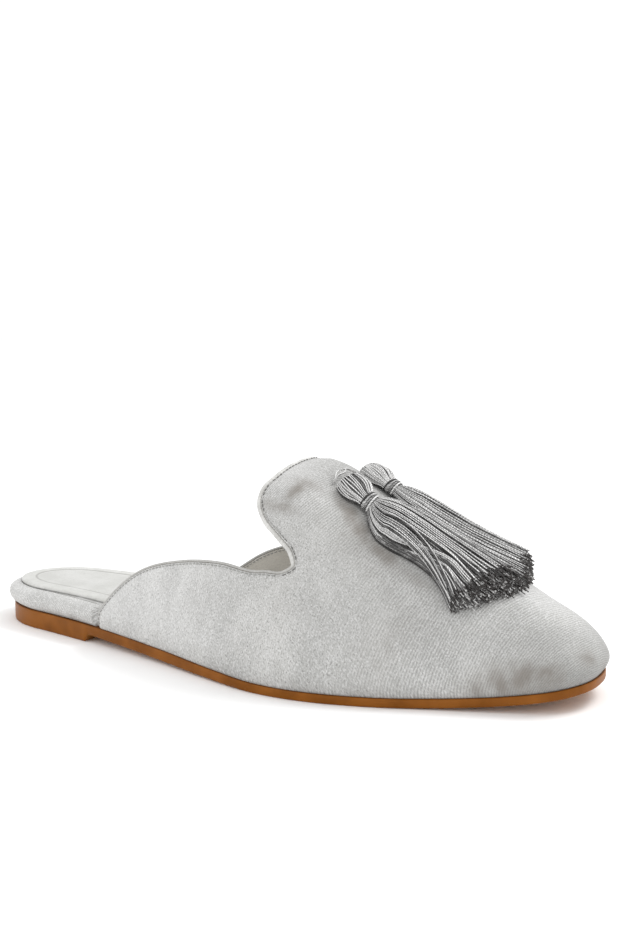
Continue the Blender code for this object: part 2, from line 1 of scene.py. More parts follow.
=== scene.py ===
"""Velvet mule, right shoe: its looks, piece by piece in the order in which the shoe is put together.

The heel lies towards -X and the toe towards +X, the inner side of the foot is +Y and the floor is Z = 0.
Forms are worked out with the back of the heel at X = 0 and then moved to the frame's origin.
"""

import bmesh
import bpy
import numpy as np
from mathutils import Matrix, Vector
from mathutils.geometry import delaunay_2d_cdt


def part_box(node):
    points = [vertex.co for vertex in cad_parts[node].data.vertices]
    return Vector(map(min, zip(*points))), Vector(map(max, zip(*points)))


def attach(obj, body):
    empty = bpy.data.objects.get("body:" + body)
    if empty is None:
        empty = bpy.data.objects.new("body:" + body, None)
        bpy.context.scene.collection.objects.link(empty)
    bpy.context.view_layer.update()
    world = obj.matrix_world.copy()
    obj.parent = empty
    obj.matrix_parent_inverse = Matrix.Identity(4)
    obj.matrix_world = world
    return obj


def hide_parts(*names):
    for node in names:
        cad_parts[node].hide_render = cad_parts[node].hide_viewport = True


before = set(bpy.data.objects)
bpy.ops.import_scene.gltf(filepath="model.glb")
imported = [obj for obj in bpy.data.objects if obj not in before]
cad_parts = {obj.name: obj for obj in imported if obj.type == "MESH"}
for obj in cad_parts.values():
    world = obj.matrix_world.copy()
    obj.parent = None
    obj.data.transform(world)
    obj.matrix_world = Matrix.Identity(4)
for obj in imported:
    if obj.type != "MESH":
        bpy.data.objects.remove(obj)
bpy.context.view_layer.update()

# Outsole: one moulded unit of caramel rubber, thin under the forefoot, with a low heel and a free waist. It is
# cemented under the finished upper, which starts a millimetre inside its milled edge and swells out above it.
MM = 0.001
LENGTH = 258 * MM
WIDTH = 85 * MM
HEEL_RISE = 3.6 * MM
HEEL_LENGTH = 57 * MM
BREAST_LEAN = 2.0 * MM
SOLE_THICK = 3.2 * MM
TOE_SPRING = 6.4 * MM
SOLE_EDGE = 0.7 * MM
UPPER_LIP = 0.6
HEEL_ROUND = 27 * MM
TOE_ROUND = 16 * MM
HEEL_POWER = 2.15
TOE_POWER = 2.6
BED_HEIGHT = 8.6 * MM
SOLE_STATIONS = 230
MILLING_PITCH = 0.62


def table(columns, *rows):
    """A table with named columns; each row is a section or a point of an edge."""
    return dict(zip(columns.split(), np.array(rows, float).T))


# Half widths of the outsole as shares of WIDTH
OUTLINE = table(
    "station lateral medial",
    (0.00, 0.220, 0.265), (0.10, 0.250, 0.300), (0.20, 0.300, 0.315), (0.30, 0.360, 0.290),
    (0.40, 0.430, 0.273), (0.50, 0.510, 0.310), (0.58, 0.560, 0.373), (0.66, 0.550, 0.446),
    (0.74, 0.485, 0.480), (0.82, 0.390, 0.450), (0.89, 0.310, 0.387), (0.95, 0.238, 0.310),
    (1.00, 0.170, 0.245))
# Sole profile: shares of SOLE_THICK, HEEL_RISE and TOE_SPRING, and of BED_HEIGHT for the footbed
PROFILE = table(
    "station thick rise spring bed",
    (0.00, 1.25, 1.00, 0.00, 1.00), (0.10, 1.25, 0.97, 0.00, 1.00), (0.22, 1.25, 0.89, 0.00, 1.00),
    (0.32, 1.28, 0.61, 0.00, 0.97), (0.42, 1.25, 0.33, 0.00, 0.88), (0.52, 1.12, 0.11, 0.00, 0.74),
    (0.60, 1.03, 0.00, 0.00, 0.64), (0.70, 1.00, 0.00, 0.00, 0.58), (0.80, 1.00, 0.00, 0.06, 0.55),
    (0.90, 1.00, 0.00, 0.38, 0.52), (1.00, 1.00, 0.00, 1.00, 0.50))


def curve(stations, values):
    """Soft curve through table rows; a level run of the table stays level."""
    gaps = np.diff(stations)
    slopes = np.diff(values) / gaps
    bends = np.empty(len(values))
    bends[1:-1] = (slopes[:-1] * gaps[1:] + slopes[1:] * gaps[:-1]) / (gaps[1:] + gaps[:-1])
    bends[1:-1][(slopes[:-1] == 0) | (slopes[1:] == 0)] = 0
    bends[0], bends[-1] = slopes[0], slopes[-1]

    def at(place):
        place = np.asarray(place, float)
        row = np.clip(np.searchsorted(stations, place) - 1, 0, len(stations) - 2)
        gap = gaps[row]
        t = (place - stations[row]) / gap
        ends = (2 * t**3 - 3 * t**2 + 1) * values[row] + (3 * t**2 - 2 * t**3) * values[row + 1]
        return ends + ((t**3 - 2 * t**2 + t) * bends[row] + (t**3 - t**2) * bends[row + 1]) * gap
    return at


def column(rows, name, unit=1.0, key="station"):
    return curve(rows[key], rows[name] * unit)


lateral_half = column(OUTLINE, "lateral", WIDTH)
medial_half = column(OUTLINE, "medial", WIDTH)
sole_thick = column(PROFILE, "thick", SOLE_THICK)
heel_rise = column(PROFILE, "rise", HEEL_RISE)
toe_spring = column(PROFILE, "spring", TOE_SPRING)
bed_height = column(PROFILE, "bed", BED_HEIGHT)


def sides(station):
    """Lateral and medial edge of the outsole at a station; superellipses round off heel and toe."""
    x = np.asarray(station, float) * LENGTH
    heel = np.clip((HEEL_ROUND - x) / HEEL_ROUND, 0, 1)
    toe = np.clip((x - LENGTH + TOE_ROUND) / TOE_ROUND, 0, 1)
    share = (1 - heel**HEEL_POWER) ** (1 / HEEL_POWER) * (1 - toe**TOE_POWER) ** (1 / TOE_POWER)
    low, high = -lateral_half(station), medial_half(station)
    middle, half = (low + high) / 2, (high - low) / 2 * share
    return middle - half, middle + half


def sole_top(x):
    station = np.clip(x / LENGTH, 0, 1)
    return sole_thick(station) + heel_rise(station) + toe_spring(station)


def sole_under(x):
    """Underside: the heel stands on the floor up to its breast, then the waist hangs free."""
    station = np.clip(x / LENGTH, 0, 1)
    return (heel_rise(station) + toe_spring(station)) * np.clip((x - HEEL_LENGTH) / BREAST_LEAN, 0, 1)


def outline_loop(rows, breaks=()):
    """Stations around the outsole's edge and their sides: lateral forward, medial back, both ends once."""
    share = (1 - np.cos(np.linspace(0, np.pi, rows))) / 2
    for place in breaks:
        share = share[np.abs(share - place) > 0.3 / rows]
    share = np.sort(np.concatenate([share, breaks]))
    station = np.concatenate([share, share[-2:0:-1]])
    side = np.concatenate([-np.ones(len(share)), np.ones(len(share) - 2)])
    return station, side, len(share)


def unit(vectors):
    return vectors / np.linalg.norm(vectors, axis=-1, keepdims=True)


def edge_points(station, side, inset):
    """Plan points of the outsole's edge, moved inwards by an inset for each point."""
    low, high = sides(station)
    points = np.stack([station * LENGTH, np.where(side < 0, low, high)], -1)
    ahead = np.roll(points, -1, axis=0) - np.roll(points, 1, axis=0)
    inward = unit(np.stack([-ahead[:, 1], ahead[:, 0]], -1))
    return points + inward * np.broadcast_to(inset, len(points))[:, None]


def way_around(station, side):
    """Way from the back of the heel along the outsole's edge, up to the toe on each side, in millimetres."""
    rim = edge_points(station, side, 0.0)
    steps = np.linalg.norm(np.roll(rim, -1, axis=0) - rim, axis=1)
    run = np.cumsum(steps) - steps
    return np.minimum(run, steps.sum() - run) / MM


outsole_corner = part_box("outsole")[0]
SHIFT = np.array([outsole_corner.x, outsole_corner.y - sides(np.linspace(0, 1, 999))[0].min(), 0.0])


def solid(name, points, faces, finishes, face_finish=None, marks=None, sharp=0.9):
    """A named piece at its place in the frame; marks are numbers kept at its points or corners."""
    mesh = bpy.data.meshes.new(name)
    mesh.from_pydata((np.asarray(points) + SHIFT).tolist(), [], [list(map(int, face)) for face in faces])
    for finish in finishes:
        mesh.materials.append(finish)
    if face_finish is not None:
        mesh.polygons.foreach_set("material_index", np.asarray(face_finish, np.int32))
    for mark, values in (marks or {}).items():
        domain = "POINT" if len(values) == len(mesh.vertices) else "CORNER"
        kept = mesh.attributes.new(mark, "FLOAT", domain)
        kept.data.foreach_set("value", np.asarray(values, np.float32))
    form = bmesh.new()
    form.from_mesh(mesh)
    bmesh.ops.recalc_face_normals(form, faces=form.faces)
    form.to_mesh(mesh)
    form.free()
    mesh.shade_smooth()
    if sharp:
        mesh.set_sharp_from_angle(angle=sharp)
    piece = bpy.data.objects.new(name, mesh)
    bpy.context.scene.collection.objects.link(piece)
    return piece


def plate(loop, rings, heights):
    """Points and faces between rings around an outline; the two end rings are closed from side to side."""
    station, side, rows = loop
    count = len(station)
    points = np.concatenate([np.column_stack([edge_points(station, side, inset), np.zeros(count)])
                             for inset in rings])
    points[:, 2] = np.concatenate([height(points[place * count:(place + 1) * count, 0])
                                   for place, height in enumerate(heights)])
    here = np.arange(count)
    beside = (here + 1) % count
    faces = [np.column_stack([here, beside, beside + count, here + count]) + ring * count
             for ring in range(len(rings) - 1)]
    faces = np.concatenate(faces).tolist()
    for base in (0, (len(rings) - 1) * count):
        for row in range(rows - 1):
            corners = (row, row + 1, (count - row - 1) % count, (count - row) % count)
            faces.append([base + corner for corner in dict.fromkeys(corners)])
    return points, faces


class Flow:
    """What runs out of a node's socket; sums and products of flows and numbers add Math nodes."""

    def __init__(self, finish, socket):
        self.finish, self.socket = finish, socket

    def math(self, operation, first, second=0.0):
        return self.finish.node("Math", {"operation": operation}, {0: first, 1: second})

    def __add__(self, other):
        return self.math("ADD", self, other)

    def __sub__(self, other):
        return self.math("SUBTRACT", self, other)

    def __rsub__(self, other):
        return self.math("SUBTRACT", other, self)

    def __mul__(self, other):
        return self.math("MULTIPLY", self, other)

    def __pow__(self, other):
        return self.math("POWER", self, other)

    __radd__, __rmul__ = __add__, __mul__

    def sine(self):
        return self.math("SINE", self)

    def between(self, low, high):
        """Runs softly from 0 to 1 while the flow runs from low to high."""
        return self.finish.node("MapRange", {"interpolation_type": "SMOOTHSTEP"},
                                {"Value": self, "From Min": low, "From Max": high})


class Finish:
    """A surface finish: one material whose nodes are added as it is described."""

    def __init__(self, name, constants):
        self.material = bpy.data.materials.new(name)
        self.material.use_nodes = True
        self.tree = self.material.node_tree
        self.shader = self.tree.nodes["Principled BSDF"]
        for socket, value in constants.items():
            self.shader.inputs[socket].default_value = value

    def node(self, kind, settings=None, inputs=None, output=0):
        """A new node of a kind; its settings are set first, then the values or links of its sockets."""
        made = self.tree.nodes.new("ShaderNode" + kind)
        for name, value in (settings or {}).items():
            setattr(made, name, value)
        for name, value in (inputs or {}).items():
            if isinstance(value, Flow):
                self.tree.links.new(value.socket, made.inputs[name])
            else:
                made.inputs[name].default_value = value
        return Flow(self, made.outputs[output])

    def mark(self, name):
        return self.node("Attribute", {"attribute_name": name}, output=2)

    def place(self):
        return self.node("TexCoord", output=3)

    def noise(self, vector, scale, detail=2.0, rough=0.5):
        return self.node("TexNoise", None,
                         {"Vector": vector, "Scale": scale, "Detail": detail, "Roughness": rough})

    def mix(self, share, first, second):
        """Blend of two colours."""
        colours = [(*part, 1) if isinstance(part, tuple) else part for part in (first, second)]
        return self.node("Mix", {"data_type": "RGBA"}, {0: share, 6: colours[0], 7: colours[1]}, output=2)

    def relief(self, height, depth):
        """Normal for a height that runs from 0 to 1 over a depth in metres."""
        return self.node("Bump", None, {"Height": height, "Distance": depth, "Strength": 1.0})

    def feed(self, **flows):
        for socket, flow in flows.items():
            self.tree.links.new(flow.socket, self.shader.inputs[socket.replace("_", " ")])
        return self.material


loop = outline_loop(SOLE_STATIONS, (HEEL_LENGTH / LENGTH, (HEEL_LENGTH + BREAST_LEAN) / LENGTH))
# the edge's two rounded lips: way in, and height over the underside or under the top, in shares of SOLE_EDGE
lower_lip = [(1.0, 0.0), (0.55, 0.12), (0.2, 0.4), (0.0, 1.0)]
upper_lip = [(0.0, 1.0), (0.12, 0.55), (0.35, 0.2), (0.7, 0.0)]
rings = [inset * SOLE_EDGE for inset, _ in lower_lip]
rings += [inset * SOLE_EDGE * UPPER_LIP for inset, _ in upper_lip]
heights = [lambda x, lift=lift: sole_under(x) + lift * SOLE_EDGE for _, lift in lower_lip]
heights += [lambda x, drop=drop: sole_top(x) - drop * SOLE_EDGE * UPPER_LIP for _, drop in upper_lip]
points, faces = plate(loop, rings, heights)
# share of the edge's height, and the way around the edge in millimetres
level = np.concatenate([np.full(len(loop[0]), place / (len(rings) - 1)) for place in range(len(rings))])
around = way_around(loop[0], loop[1])
rubber = Finish("tan_unit", {"Coat Roughness": 0.28, "Specular IOR Level": 0.10})
cloud = rubber.noise(rubber.place(), 90.0, 3.0)
grain = rubber.noise(rubber.place(), 2600.0, 2.0, 0.6)
height_share = rubber.mark("level")
tan = rubber.mix(cloud.between(0.35, 0.7), (0.178, 0.056, 0.004), (0.250, 0.084, 0.010))
# painted shade: the top of the sole's edge, where the upper overhangs it, is painted dark brown
tan = rubber.mix(height_share.between(0.84, 1.0) * 0.55, tan, (0.070, 0.024, 0.007))
# painted highlight: the lower lip of the sole's edge is painted a lighter tan
tan = rubber.mix((1 - height_share.between(0.0, 0.36)) * 0.32, tan, (0.50, 0.22, 0.050))
milling = ((rubber.mark("around") * (2 * np.pi / MILLING_PITCH)).sine() + 1) * 0.5
rubber_material = rubber.feed(
    Base_Color=tan,
    Roughness=cloud * 0.16 + 0.30,
    Coat_Weight=0.04 - height_share.between(0.6, 1.0) * 0.03,
    Normal=rubber.relief(grain * 0.7 + milling * 0.3, 0.00005))
outsole = solid("outsole_unit", points, faces, [rubber_material],
                marks={"level": level, "around": np.tile(around, len(rings))}, sharp=0.75)
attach(outsole, "root")
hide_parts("outsole")


# Footbed: a firm foam insole, its rim wrapped in the same ribbed velvet, cemented on the outsole. The wrap is
# turned over the upper edge and sewn down, which leaves a narrow sunk seam beside the sock, painted dark as
# shade;
# free of the upper, behind the quarters, the soft rim bulges out a little past the sole.
GAP = 0.3 * MM
LEDGE = 1.0 * MM
WALL = 1.8 * MM
PIPING = 2.2 * MM
BED_ROUND = 1.6 * MM
BED_BULGE = 3.2 * MM
COLLAR_END = 1.5 * MM
STEP_RUN = 1.6 * MM
SOCK_RUN = 45 * MM
LATERAL_START = 0.255
MEDIAL_START = 0.330
BED_STATIONS = 200
RIB_PITCH = 0.83
# Millimetres of velvet turned over the rim and up its side, and how its ribs lean there
RIM_TURNED = 2.0
RIM_HIGH = 8.6
RIM_LEAN = 0.55
RIM_RUN = 0.85
SEAM_RINGS = 4
# Painted warm shade low on the rim: station, half length as a share of LENGTH, strength
RIM_SHADE = (0.17, 0.07, 0.9)


def seat(x):
    """Height at which the upper and the footbed stand on the outsole."""
    return sole_top(x) + GAP


def bed_top(x):
    return seat(x) + bed_height(np.clip(x / LENGTH, 0, 1))


def soft_step(share):
    """Runs from 0 to 1 as the share does, softly at both ends, and stays there beyond them."""
    share = np.clip(share, 0, 1)
    return share * share * (3 - 2 * share)


def bed_step(station, side, run):
    """From 0 where the footbed's rim stands free to 1 where it has passed inside the upper's wall."""
    clear = np.where(side < 0, LATERAL_START, MEDIAL_START) * LENGTH - COLLAR_END
    return soft_step((station * LENGTH - clear + run) / run)


def bed_inset(station, side, run):
    """The footbed's rim stands full width behind the upper and steps in to pass inside its wall."""
    tucked = LEDGE + WALL / 2 + PIPING / 2 + GAP
    return LEDGE + (tucked - LEDGE) * bed_step(station, side, run)


def velvet(name, tone=1.0, sheen=0.22):
    """Silver grey ribbed velvet. Marks rib and course say where a point lies on the cloth, in millimetres, and
    the other marks where its nap is crushed and painted shade darkens it, where painted light (under 0) and
    painted shade (over 0) fall, and how far its nap stands up."""
    def grey(value, painted_rim_shade=0.03):
        return tuple(tone * value * part for part in (1.0, 1.0 - painted_rim_shade * 0.15, 1.0 - painted_rim_shade))
    cloth = Finish(name, {"Sheen Weight": sheen, "Sheen Roughness": 0.4, "Specular IOR Level": 0.1})
    rib, course = cloth.mark("rib"), cloth.mark("course")
    on_cloth = cloth.node("CombineXYZ", None, {"X": rib, "Y": course * 0.55, "Z": 0.0})
    wander = cloth.noise(on_cloth, 0.16, 3.0)
    wave = ((rib + wander * 1.3) * (2 * np.pi / RIB_PITCH)).sine() * 0.5 + 0.5
    tufts = cloth.noise(cloth.node("CombineXYZ", None, {"X": rib * 1.2, "Y": course, "Z": 1.0}), 1.7, 3.0, 0.7)
    specks = cloth.noise(cloth.node("CombineXYZ", None, {"X": rib, "Y": course * 0.8, "Z": 4.0}), 2.3, 2.0, 0.6)
    sweep = cloth.noise(on_cloth, 0.050, 4.0, 0.60)
    stir = cloth.noise(on_cloth, 0.16, 4.0, 0.6)
    plain = cloth.mix(sweep.between(0.30, 0.72), grey(0.435), grey(0.565))
    plain = cloth.mix(stir.between(0.46, 0.74) * 0.30, plain, grey(0.34, 0.05))
    ribbed = cloth.mix((1 - wave) * (0.54 - cloth.mark("blurred") * 0.40), plain, grey(0.20))
    tufted = cloth.mix(tufts.between(0.46, 0.64) * 0.42, ribbed, grey(0.86, 0.0))
    speckled = specks.between(0.52, 0.70) * (0.44 + cloth.mark("blurred") * 0.34)
    nap = cloth.mix(speckled, tufted, grey(0.20, 0.06))
    # painted light where the mark is under 0, painted shade where it is over 0
    light_and_shade = cloth.mark("light_and_shade")
    nap = cloth.mix(light_and_shade, cloth.mix(light_and_shade * -1.0, nap, grey(0.87, 0.0)), grey(0.11, 0.10))
    # the crushed-nap mark also carries painted shadow and painted shade, towards a warm dark grey
    stirred = tufts * 0.5 + stir * 1.5 - 0.35
    crushed_and_shaded = (cloth.mark("crushed_and_shaded") * stirred).between(0.0, 1.0)
    nap = cloth.mix(crushed_and_shaded * 0.80, nap, (0.205, 0.185, 0.165))
    height = wave * 0.55 + tufts * 0.5
    return cloth.feed(Base_Color=nap, Roughness=0.96 - tufts * 0.2,
                      Normal=cloth.relief(height, 0.00013))


steps = [start - way / LENGTH for start in (LATERAL_START, MEDIAL_START)
         for way in (COLLAR_END, COLLAR_END + STEP_RUN)]
loop = outline_loop(BED_STATIONS, sorted(steps))
station, side, _ = loop
inset = bed_inset(station, side, STEP_RUN)
free = 1 - bed_step(station, side, STEP_RUN)
bulge = BED_BULGE * free * (1 - np.clip(station * LENGTH / HEEL_LENGTH, 0, 1) / 2)
# inset in shares of BED_ROUND, share of the bulge and height in shares of the footbed, from sole to seam
rim_profile = [
    (0.35, 0.00, 0.00), (0.12, 0.30, 0.06), (0.00, 0.62, 0.16), (0.00, 0.88, 0.30), (0.00, 1.00, 0.45),
    (0.00, 1.00, 0.58), (0.00, 0.86, 0.72), (0.12, 0.60, 0.83), (0.45, 0.25, 0.92), (0.85, 0.05, 0.965),
    (1.12, 0.00, 0.985), (1.30, 0.00, 0.97), (1.38, 0.00, 0.94), (1.48, 0.00, 0.94), (1.58, 0.00, 0.97)]
rings = [inset + inward * BED_ROUND - full * bulge for inward, full, _ in rim_profile]
heights = [lambda x, share=share: (seat(x) if share else sole_top(x)) + share * (bed_top(x) - seat(x))
           for _, _, share in rim_profile]
points, faces = plate(loop, rings, heights)
around = way_around(station, side)
climb = np.repeat([RIM_TURNED * inward + RIM_HIGH * share for inward, _, share in rim_profile], len(station))
# painted light: the rim's copy of the same velvet is painted lighter than the upper's (tone 1.16)
rim_finish = velvet("velvet_rim", tone=1.16, sheen=0.5)
# painted shade in the sunk seam: its rings get a near black finish, mottled a little
seam_finish = Finish("seam_shadow", {"Roughness": 0.9, "Specular IOR Level": 0.1})
seam_shadow_noise = seam_finish.noise(seam_finish.place(), 900.0)
seam_material = seam_finish.feed(
    Base_Color=seam_finish.mix(seam_shadow_noise, (0.15, 0.146, 0.136), (0.28, 0.273, 0.258)))
face_ring = np.arange(len(faces)) // len(station)
last_ring = len(rim_profile) - 1
face_finish = np.where((face_ring > last_ring - SEAM_RINGS) & (face_ring < last_ring), 1, 0)
# painted shade low on the rim, near the sole: the velvet is darkened there, with a warm dark patch near the
# heel
low_band = np.repeat([np.clip(1 - share / 0.5, 0, 1) for _, _, share in rim_profile], len(station))
shade_at, shade_long, strength = RIM_SHADE
painted_rim_shade = strength * np.tile(np.exp(-((station - shade_at) / shade_long) ** 2), len(rim_profile)) * low_band
footbed = solid("footbed_velvet", points, faces, [rim_finish, seam_material], face_finish,
                marks={"rib": np.tile(around, len(rim_profile)) * RIM_RUN - climb * RIM_LEAN,
                       "course": np.tile(around, len(rim_profile)) * RIM_LEAN + climb,
                       "crushed_and_shaded": painted_rim_shade, "light_and_shade": 0.10 * low_band, "blurred": 0 * painted_rim_shade}, sharp=None)
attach(footbed, "root")
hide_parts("footbed")


# Sock lining: pale silver satin over thin foam, glued on the footbed inside the seam. A border line is pressed
# in some way from its edge and painted dark as shade, and the panel inside it lies a little lower.
SOCK_THICK = 0.8 * MM
SOCK_INSET = 2.2 * MM
BORDER = 6.2 * MM
TOE_TAPER = 0.16
LEAST_TAPER = 0.12
inset = bed_inset(station, side, SOCK_RUN) + SOCK_INSET
taper = np.clip((1 - station) / TOE_TAPER, LEAST_TAPER, 1)
# way in from the sock's edge in millimetres, and height over the footbed in shares of SOCK_THICK
pressed = BORDER / MM
sock_profile = [
    (0.0, -0.36), (-0.05, 0.45), (0.12, 0.85), (0.5, 1.15), (1.4, 1.35), (3.0, 1.42), (pressed - 1.0, 1.40),
    (pressed - 0.45, 1.28), (pressed, 0.92), (pressed + 0.45, 1.16), (pressed + 1.0, 1.22),
    (pressed + 2.2, 1.16), (pressed + 5.0, 1.12)]
rings = [inset + inward * MM * taper for inward, _ in sock_profile]
heights = [lambda x, share=share: bed_top(x) + GAP + share * SOCK_THICK for _, share in sock_profile]
points, faces = plate(loop, rings, heights)
satin_sock = Finish("sock_satin", {"Sheen Weight": 0.25, "Sheen Roughness": 0.3, "Specular IOR Level": 0.5,
                                   "Anisotropic": 0.35})
way_in = satin_sock.mark("way_in")
threads = satin_sock.node("TexWave", {"bands_direction": "Y"},
                          {"Vector": satin_sock.place(), "Scale": 520.0, "Distortion": 1.2, "Detail": 2.0})
haze = satin_sock.noise(satin_sock.place(), 85.0, 4.0, 0.6)
fleck = satin_sock.noise(satin_sock.place(), 900.0, 3.0, 0.6)
silver = satin_sock.mix(haze.between(0.3, 0.7), (0.505, 0.505, 0.48), (0.635, 0.635, 0.615))
silver = satin_sock.mix(fleck.between(0.50, 0.70) * 0.35, silver, (0.38, 0.38, 0.36))
silver = satin_sock.mix(threads * 0.20, silver, (0.36, 0.36, 0.34))
# painted shade in the pressed border line
border_shade = way_in.between(pressed - 0.9, pressed) * (1 - way_in.between(pressed, pressed + 0.9))
silver = satin_sock.mix(border_shade * 0.70, silver, (0.30, 0.295, 0.28))
silver = satin_sock.mix(way_in.between(pressed, pressed + 3.0) * 0.16, silver, (0.34, 0.34, 0.325))
sock_material = satin_sock.feed(
    Base_Color=silver, Roughness=haze * 0.2 + 0.34,
    Normal=satin_sock.relief(threads * 0.5 + haze * 0.5, 0.00006))
sock = solid("sock_satin", points, faces, [sock_material],
             marks={"way_in": np.repeat([inward for inward, _ in sock_profile], len(station))}, sharp=None)
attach(sock, "root")
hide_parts("sock_lining")


# Upper: one vamp with a rounded slipper tongue and two low quarters, cut from velvet with its ribs a little off
# straight across, backed with a grey beige lining, pulled over the last and cemented under its lower edge.
INSTEP = 76.2 * MM
SWELL = 2.3 * MM
SWELL_HEIGHT = 6 * MM
CREST_END = 22 * MM
CREST_SOFT = 6 * MM
BIAS = np.radians(13.5)
CLOTH_STEP = 1.5 * MM
EDGE_STEP = 1.2 * MM
# Rows of points beside the topline, in millimetres from it
EDGE_ROWS = (0.55, 1.1, 1.6, 2.3, 3.1)
STITCH_LINE = 0.55 * MM
STITCH_DEPTH = 0.12 * MM
# Millimetres: half width of the dip that the stitches draw, depth and width of the edge's roll to the
# piping, height, place and half width of the soft ridge behind them
DIP_WIDE = 0.40
ROLL_DEEP, ROLL_WIDE = 0.16, 0.8
RIDGE_HIGH, RIDGE_LINE, RIDGE_WIDE = 0.14, 3.0, 1.2
# Millimetres from the topline: where the cloth's soft forms begin, and where they have their full height
CALM_EDGE, FULL_FORMS, FULL_PULLS = 1.5, 5, 6
FOOT_HIGH = 9 * MM

# Sections of the last: crest as a share of INSTEP, roundness of the section (2 is an ellipse),
# swell as a share of SWELL, sideways place of the crest as a share of WIDTH
SECTIONS = table(
    "station crest round swell middle",
    (0.25, 1.105, 2.20, 0.65, 0.059), (0.42, 1.080, 2.25, 0.65, 0.059), (0.50, 1.053, 2.30, 0.87, 0.065),
    (0.56, 1.000, 2.35, 0.87, 0.070), (0.60, 0.974, 2.40, 0.87, 0.070), (0.66, 0.875, 2.40, 0.96, 0.070),
    (0.73, 0.741, 2.35, 1.00, 0.065), (0.80, 0.616, 2.30, 1.00, 0.059), (0.87, 0.504, 2.30, 1.00, 0.059),
    (0.93, 0.408, 2.35, 1.00, 0.059), (1.00, 0.362, 2.35, 1.00, 0.059))
# Topline: each quarter from its back lower corner to the notch, and half the tongue from notch to tip
QUARTER_LATERAL = table(
    "station girth",
    (0.255, 1.000), (0.258, 0.965), (0.284, 0.902), (0.346, 0.802), (0.428, 0.738), (0.512, 0.705),
    (0.585, 0.690), (0.616, 0.670))
QUARTER_MEDIAL = table(
    "station girth",
    (0.330, 1.000), (0.334, 0.965), (0.360, 0.908), (0.395, 0.855), (0.442, 0.790), (0.510, 0.735),
    (0.580, 0.700), (0.616, 0.673))
TONGUE = table(
    "station girth",
    (0.630, 0.628), (0.623, 0.580), (0.600, 0.538), (0.566, 0.475), (0.549, 0.410), (0.546, 0.345),
    (0.552, 0.250), (0.557, 0.130), (0.558, 0.000))
crest_height = column(SECTIONS, "crest", INSTEP)
section_round = column(SECTIONS, "round")
section_swell = column(SECTIONS, "swell", SWELL)
crest_side = column(SECTIONS, "middle", WIDTH)


def rays(station, girth):
    """Foot of each section's line on the crest, its plan direction and its length to the outsole's edge."""
    low, high = sides(station)
    x = station * LENGTH
    end = LENGTH - CREST_END
    foot_x = end - CREST_SOFT * np.log1p(np.exp((end - x) / CREST_SOFT))
    foot_y = crest_side(foot_x / LENGTH)
    away_x, away_y = x - foot_x, np.where(girth < 0, low, high) - foot_y
    length = np.maximum(np.hypot(away_x, away_y), 1e-9)
    return foot_x, foot_y, away_x / length, away_y / length, length


def last(station, girth):
    """Outer face of the upper. Girth runs from -1 at the lateral feather edge over 0 on the crest to 1."""
    station, girth = np.broadcast_arrays(np.asarray(station, float), np.asarray(girth, float))
    foot_x, foot_y, way_x, way_y, length = rays(station, girth)
    power = 2 / section_round(station)
    angle = (1 - np.abs(girth)) * np.pi / 2
    rise = np.maximum(np.sin(angle), 0) ** power
    height = (crest_height(foot_x / LENGTH) - seat(station * LENGTH)) * rise / SWELL_HEIGHT
    swell = section_swell(station) * height * np.exp(1 - height)
    reach = (length - LEDGE) * np.abs(np.cos(angle)) ** power + swell
    x, y = foot_x + way_x * reach, foot_y + way_y * reach
    base = seat(x)
    return np.stack([x, y, base + (crest_height(np.clip(x / LENGTH, 0, 1)) - base) * rise], -1)


def outward(station, girth):
    """Unit normal of the outer face, by small steps to both sides."""
    step = 1e-3
    station, girth = np.broadcast_arrays(np.asarray(station, float), np.asarray(girth, float))
    girth = np.where(girth > 0, 1.0, -1.0) * np.clip(np.abs(girth), 2 * step, 1)
    ahead = last(np.minimum(station + step, 1), girth) - last(station - step, girth)
    across = last(station, np.minimum(girth + step, 1)) - last(station, np.maximum(girth - step, -1))
    return unit(np.cross(ahead, across))


def run_along(line):
    """Way along a polyline to each of its points."""
    return np.concatenate([[0], np.cumsum(np.linalg.norm(np.diff(line, axis=0), axis=1))])


def resample(line, step, phase=0.0):
    """Shares along a polyline, about one step apart."""
    run = run_along(line)
    count = max(2, round(run[-1] / step))
    places = (np.arange(count + 1) + phase) / count
    return np.interp(places[places <= 1] * run[-1], run, np.linspace(0, 1, len(line)))


def along_topline(step, phase=0.0):
    """Station and girth along the collar, from the lateral back corner over the tongue to the medial one."""
    quarter, other, tongue = QUARTER_LATERAL, QUARTER_MEDIAL, TONGUE
    station = np.concatenate([quarter["station"], tongue["station"], tongue["station"][-2::-1],
                              other["station"][::-1]])
    girth = np.concatenate([-quarter["girth"], -tongue["girth"], tongue["girth"][-2::-1], other["girth"][::-1]])
    run = run_along(last(station, girth))
    places = np.linspace(0, run[-1], 900)
    station, girth = curve(run, station)(places), np.clip(curve(run, girth)(places), -1, 1)
    share = resample(last(station, girth), step, phase)
    places = np.linspace(0, 1, len(station))
    return np.interp(share, places, station), np.interp(share, places, girth)


def from_edge(station, girth, distance, steps=6):
    """Moves points of the topline inwards over the upper's face, square to the edge."""
    edge = last(station, girth)
    tangent = unit(np.gradient(edge, axis=0))
    small = 1e-4
    for _ in range(steps):
        inward = np.cross(tangent, outward(station, girth))
        along = (last(station + small, girth) - last(station - small, girth)) / (2 * small)
        around = (last(station, girth + small) - last(station, girth - small)) / (2 * small)
        aa, bb, ab = (along**2).sum(1), (around**2).sum(1), (along * around).sum(1)
        wa, wb = (along * inward).sum(1), (around * inward).sum(1)
        scale = distance / steps / (aa * bb - ab**2)
        station = station + (bb * wa - ab * wb) * scale
        girth = np.clip(girth + (aa * wb - ab * wa) * scale, -1 + 2 * small, 1 - 2 * small)
    return station, girth


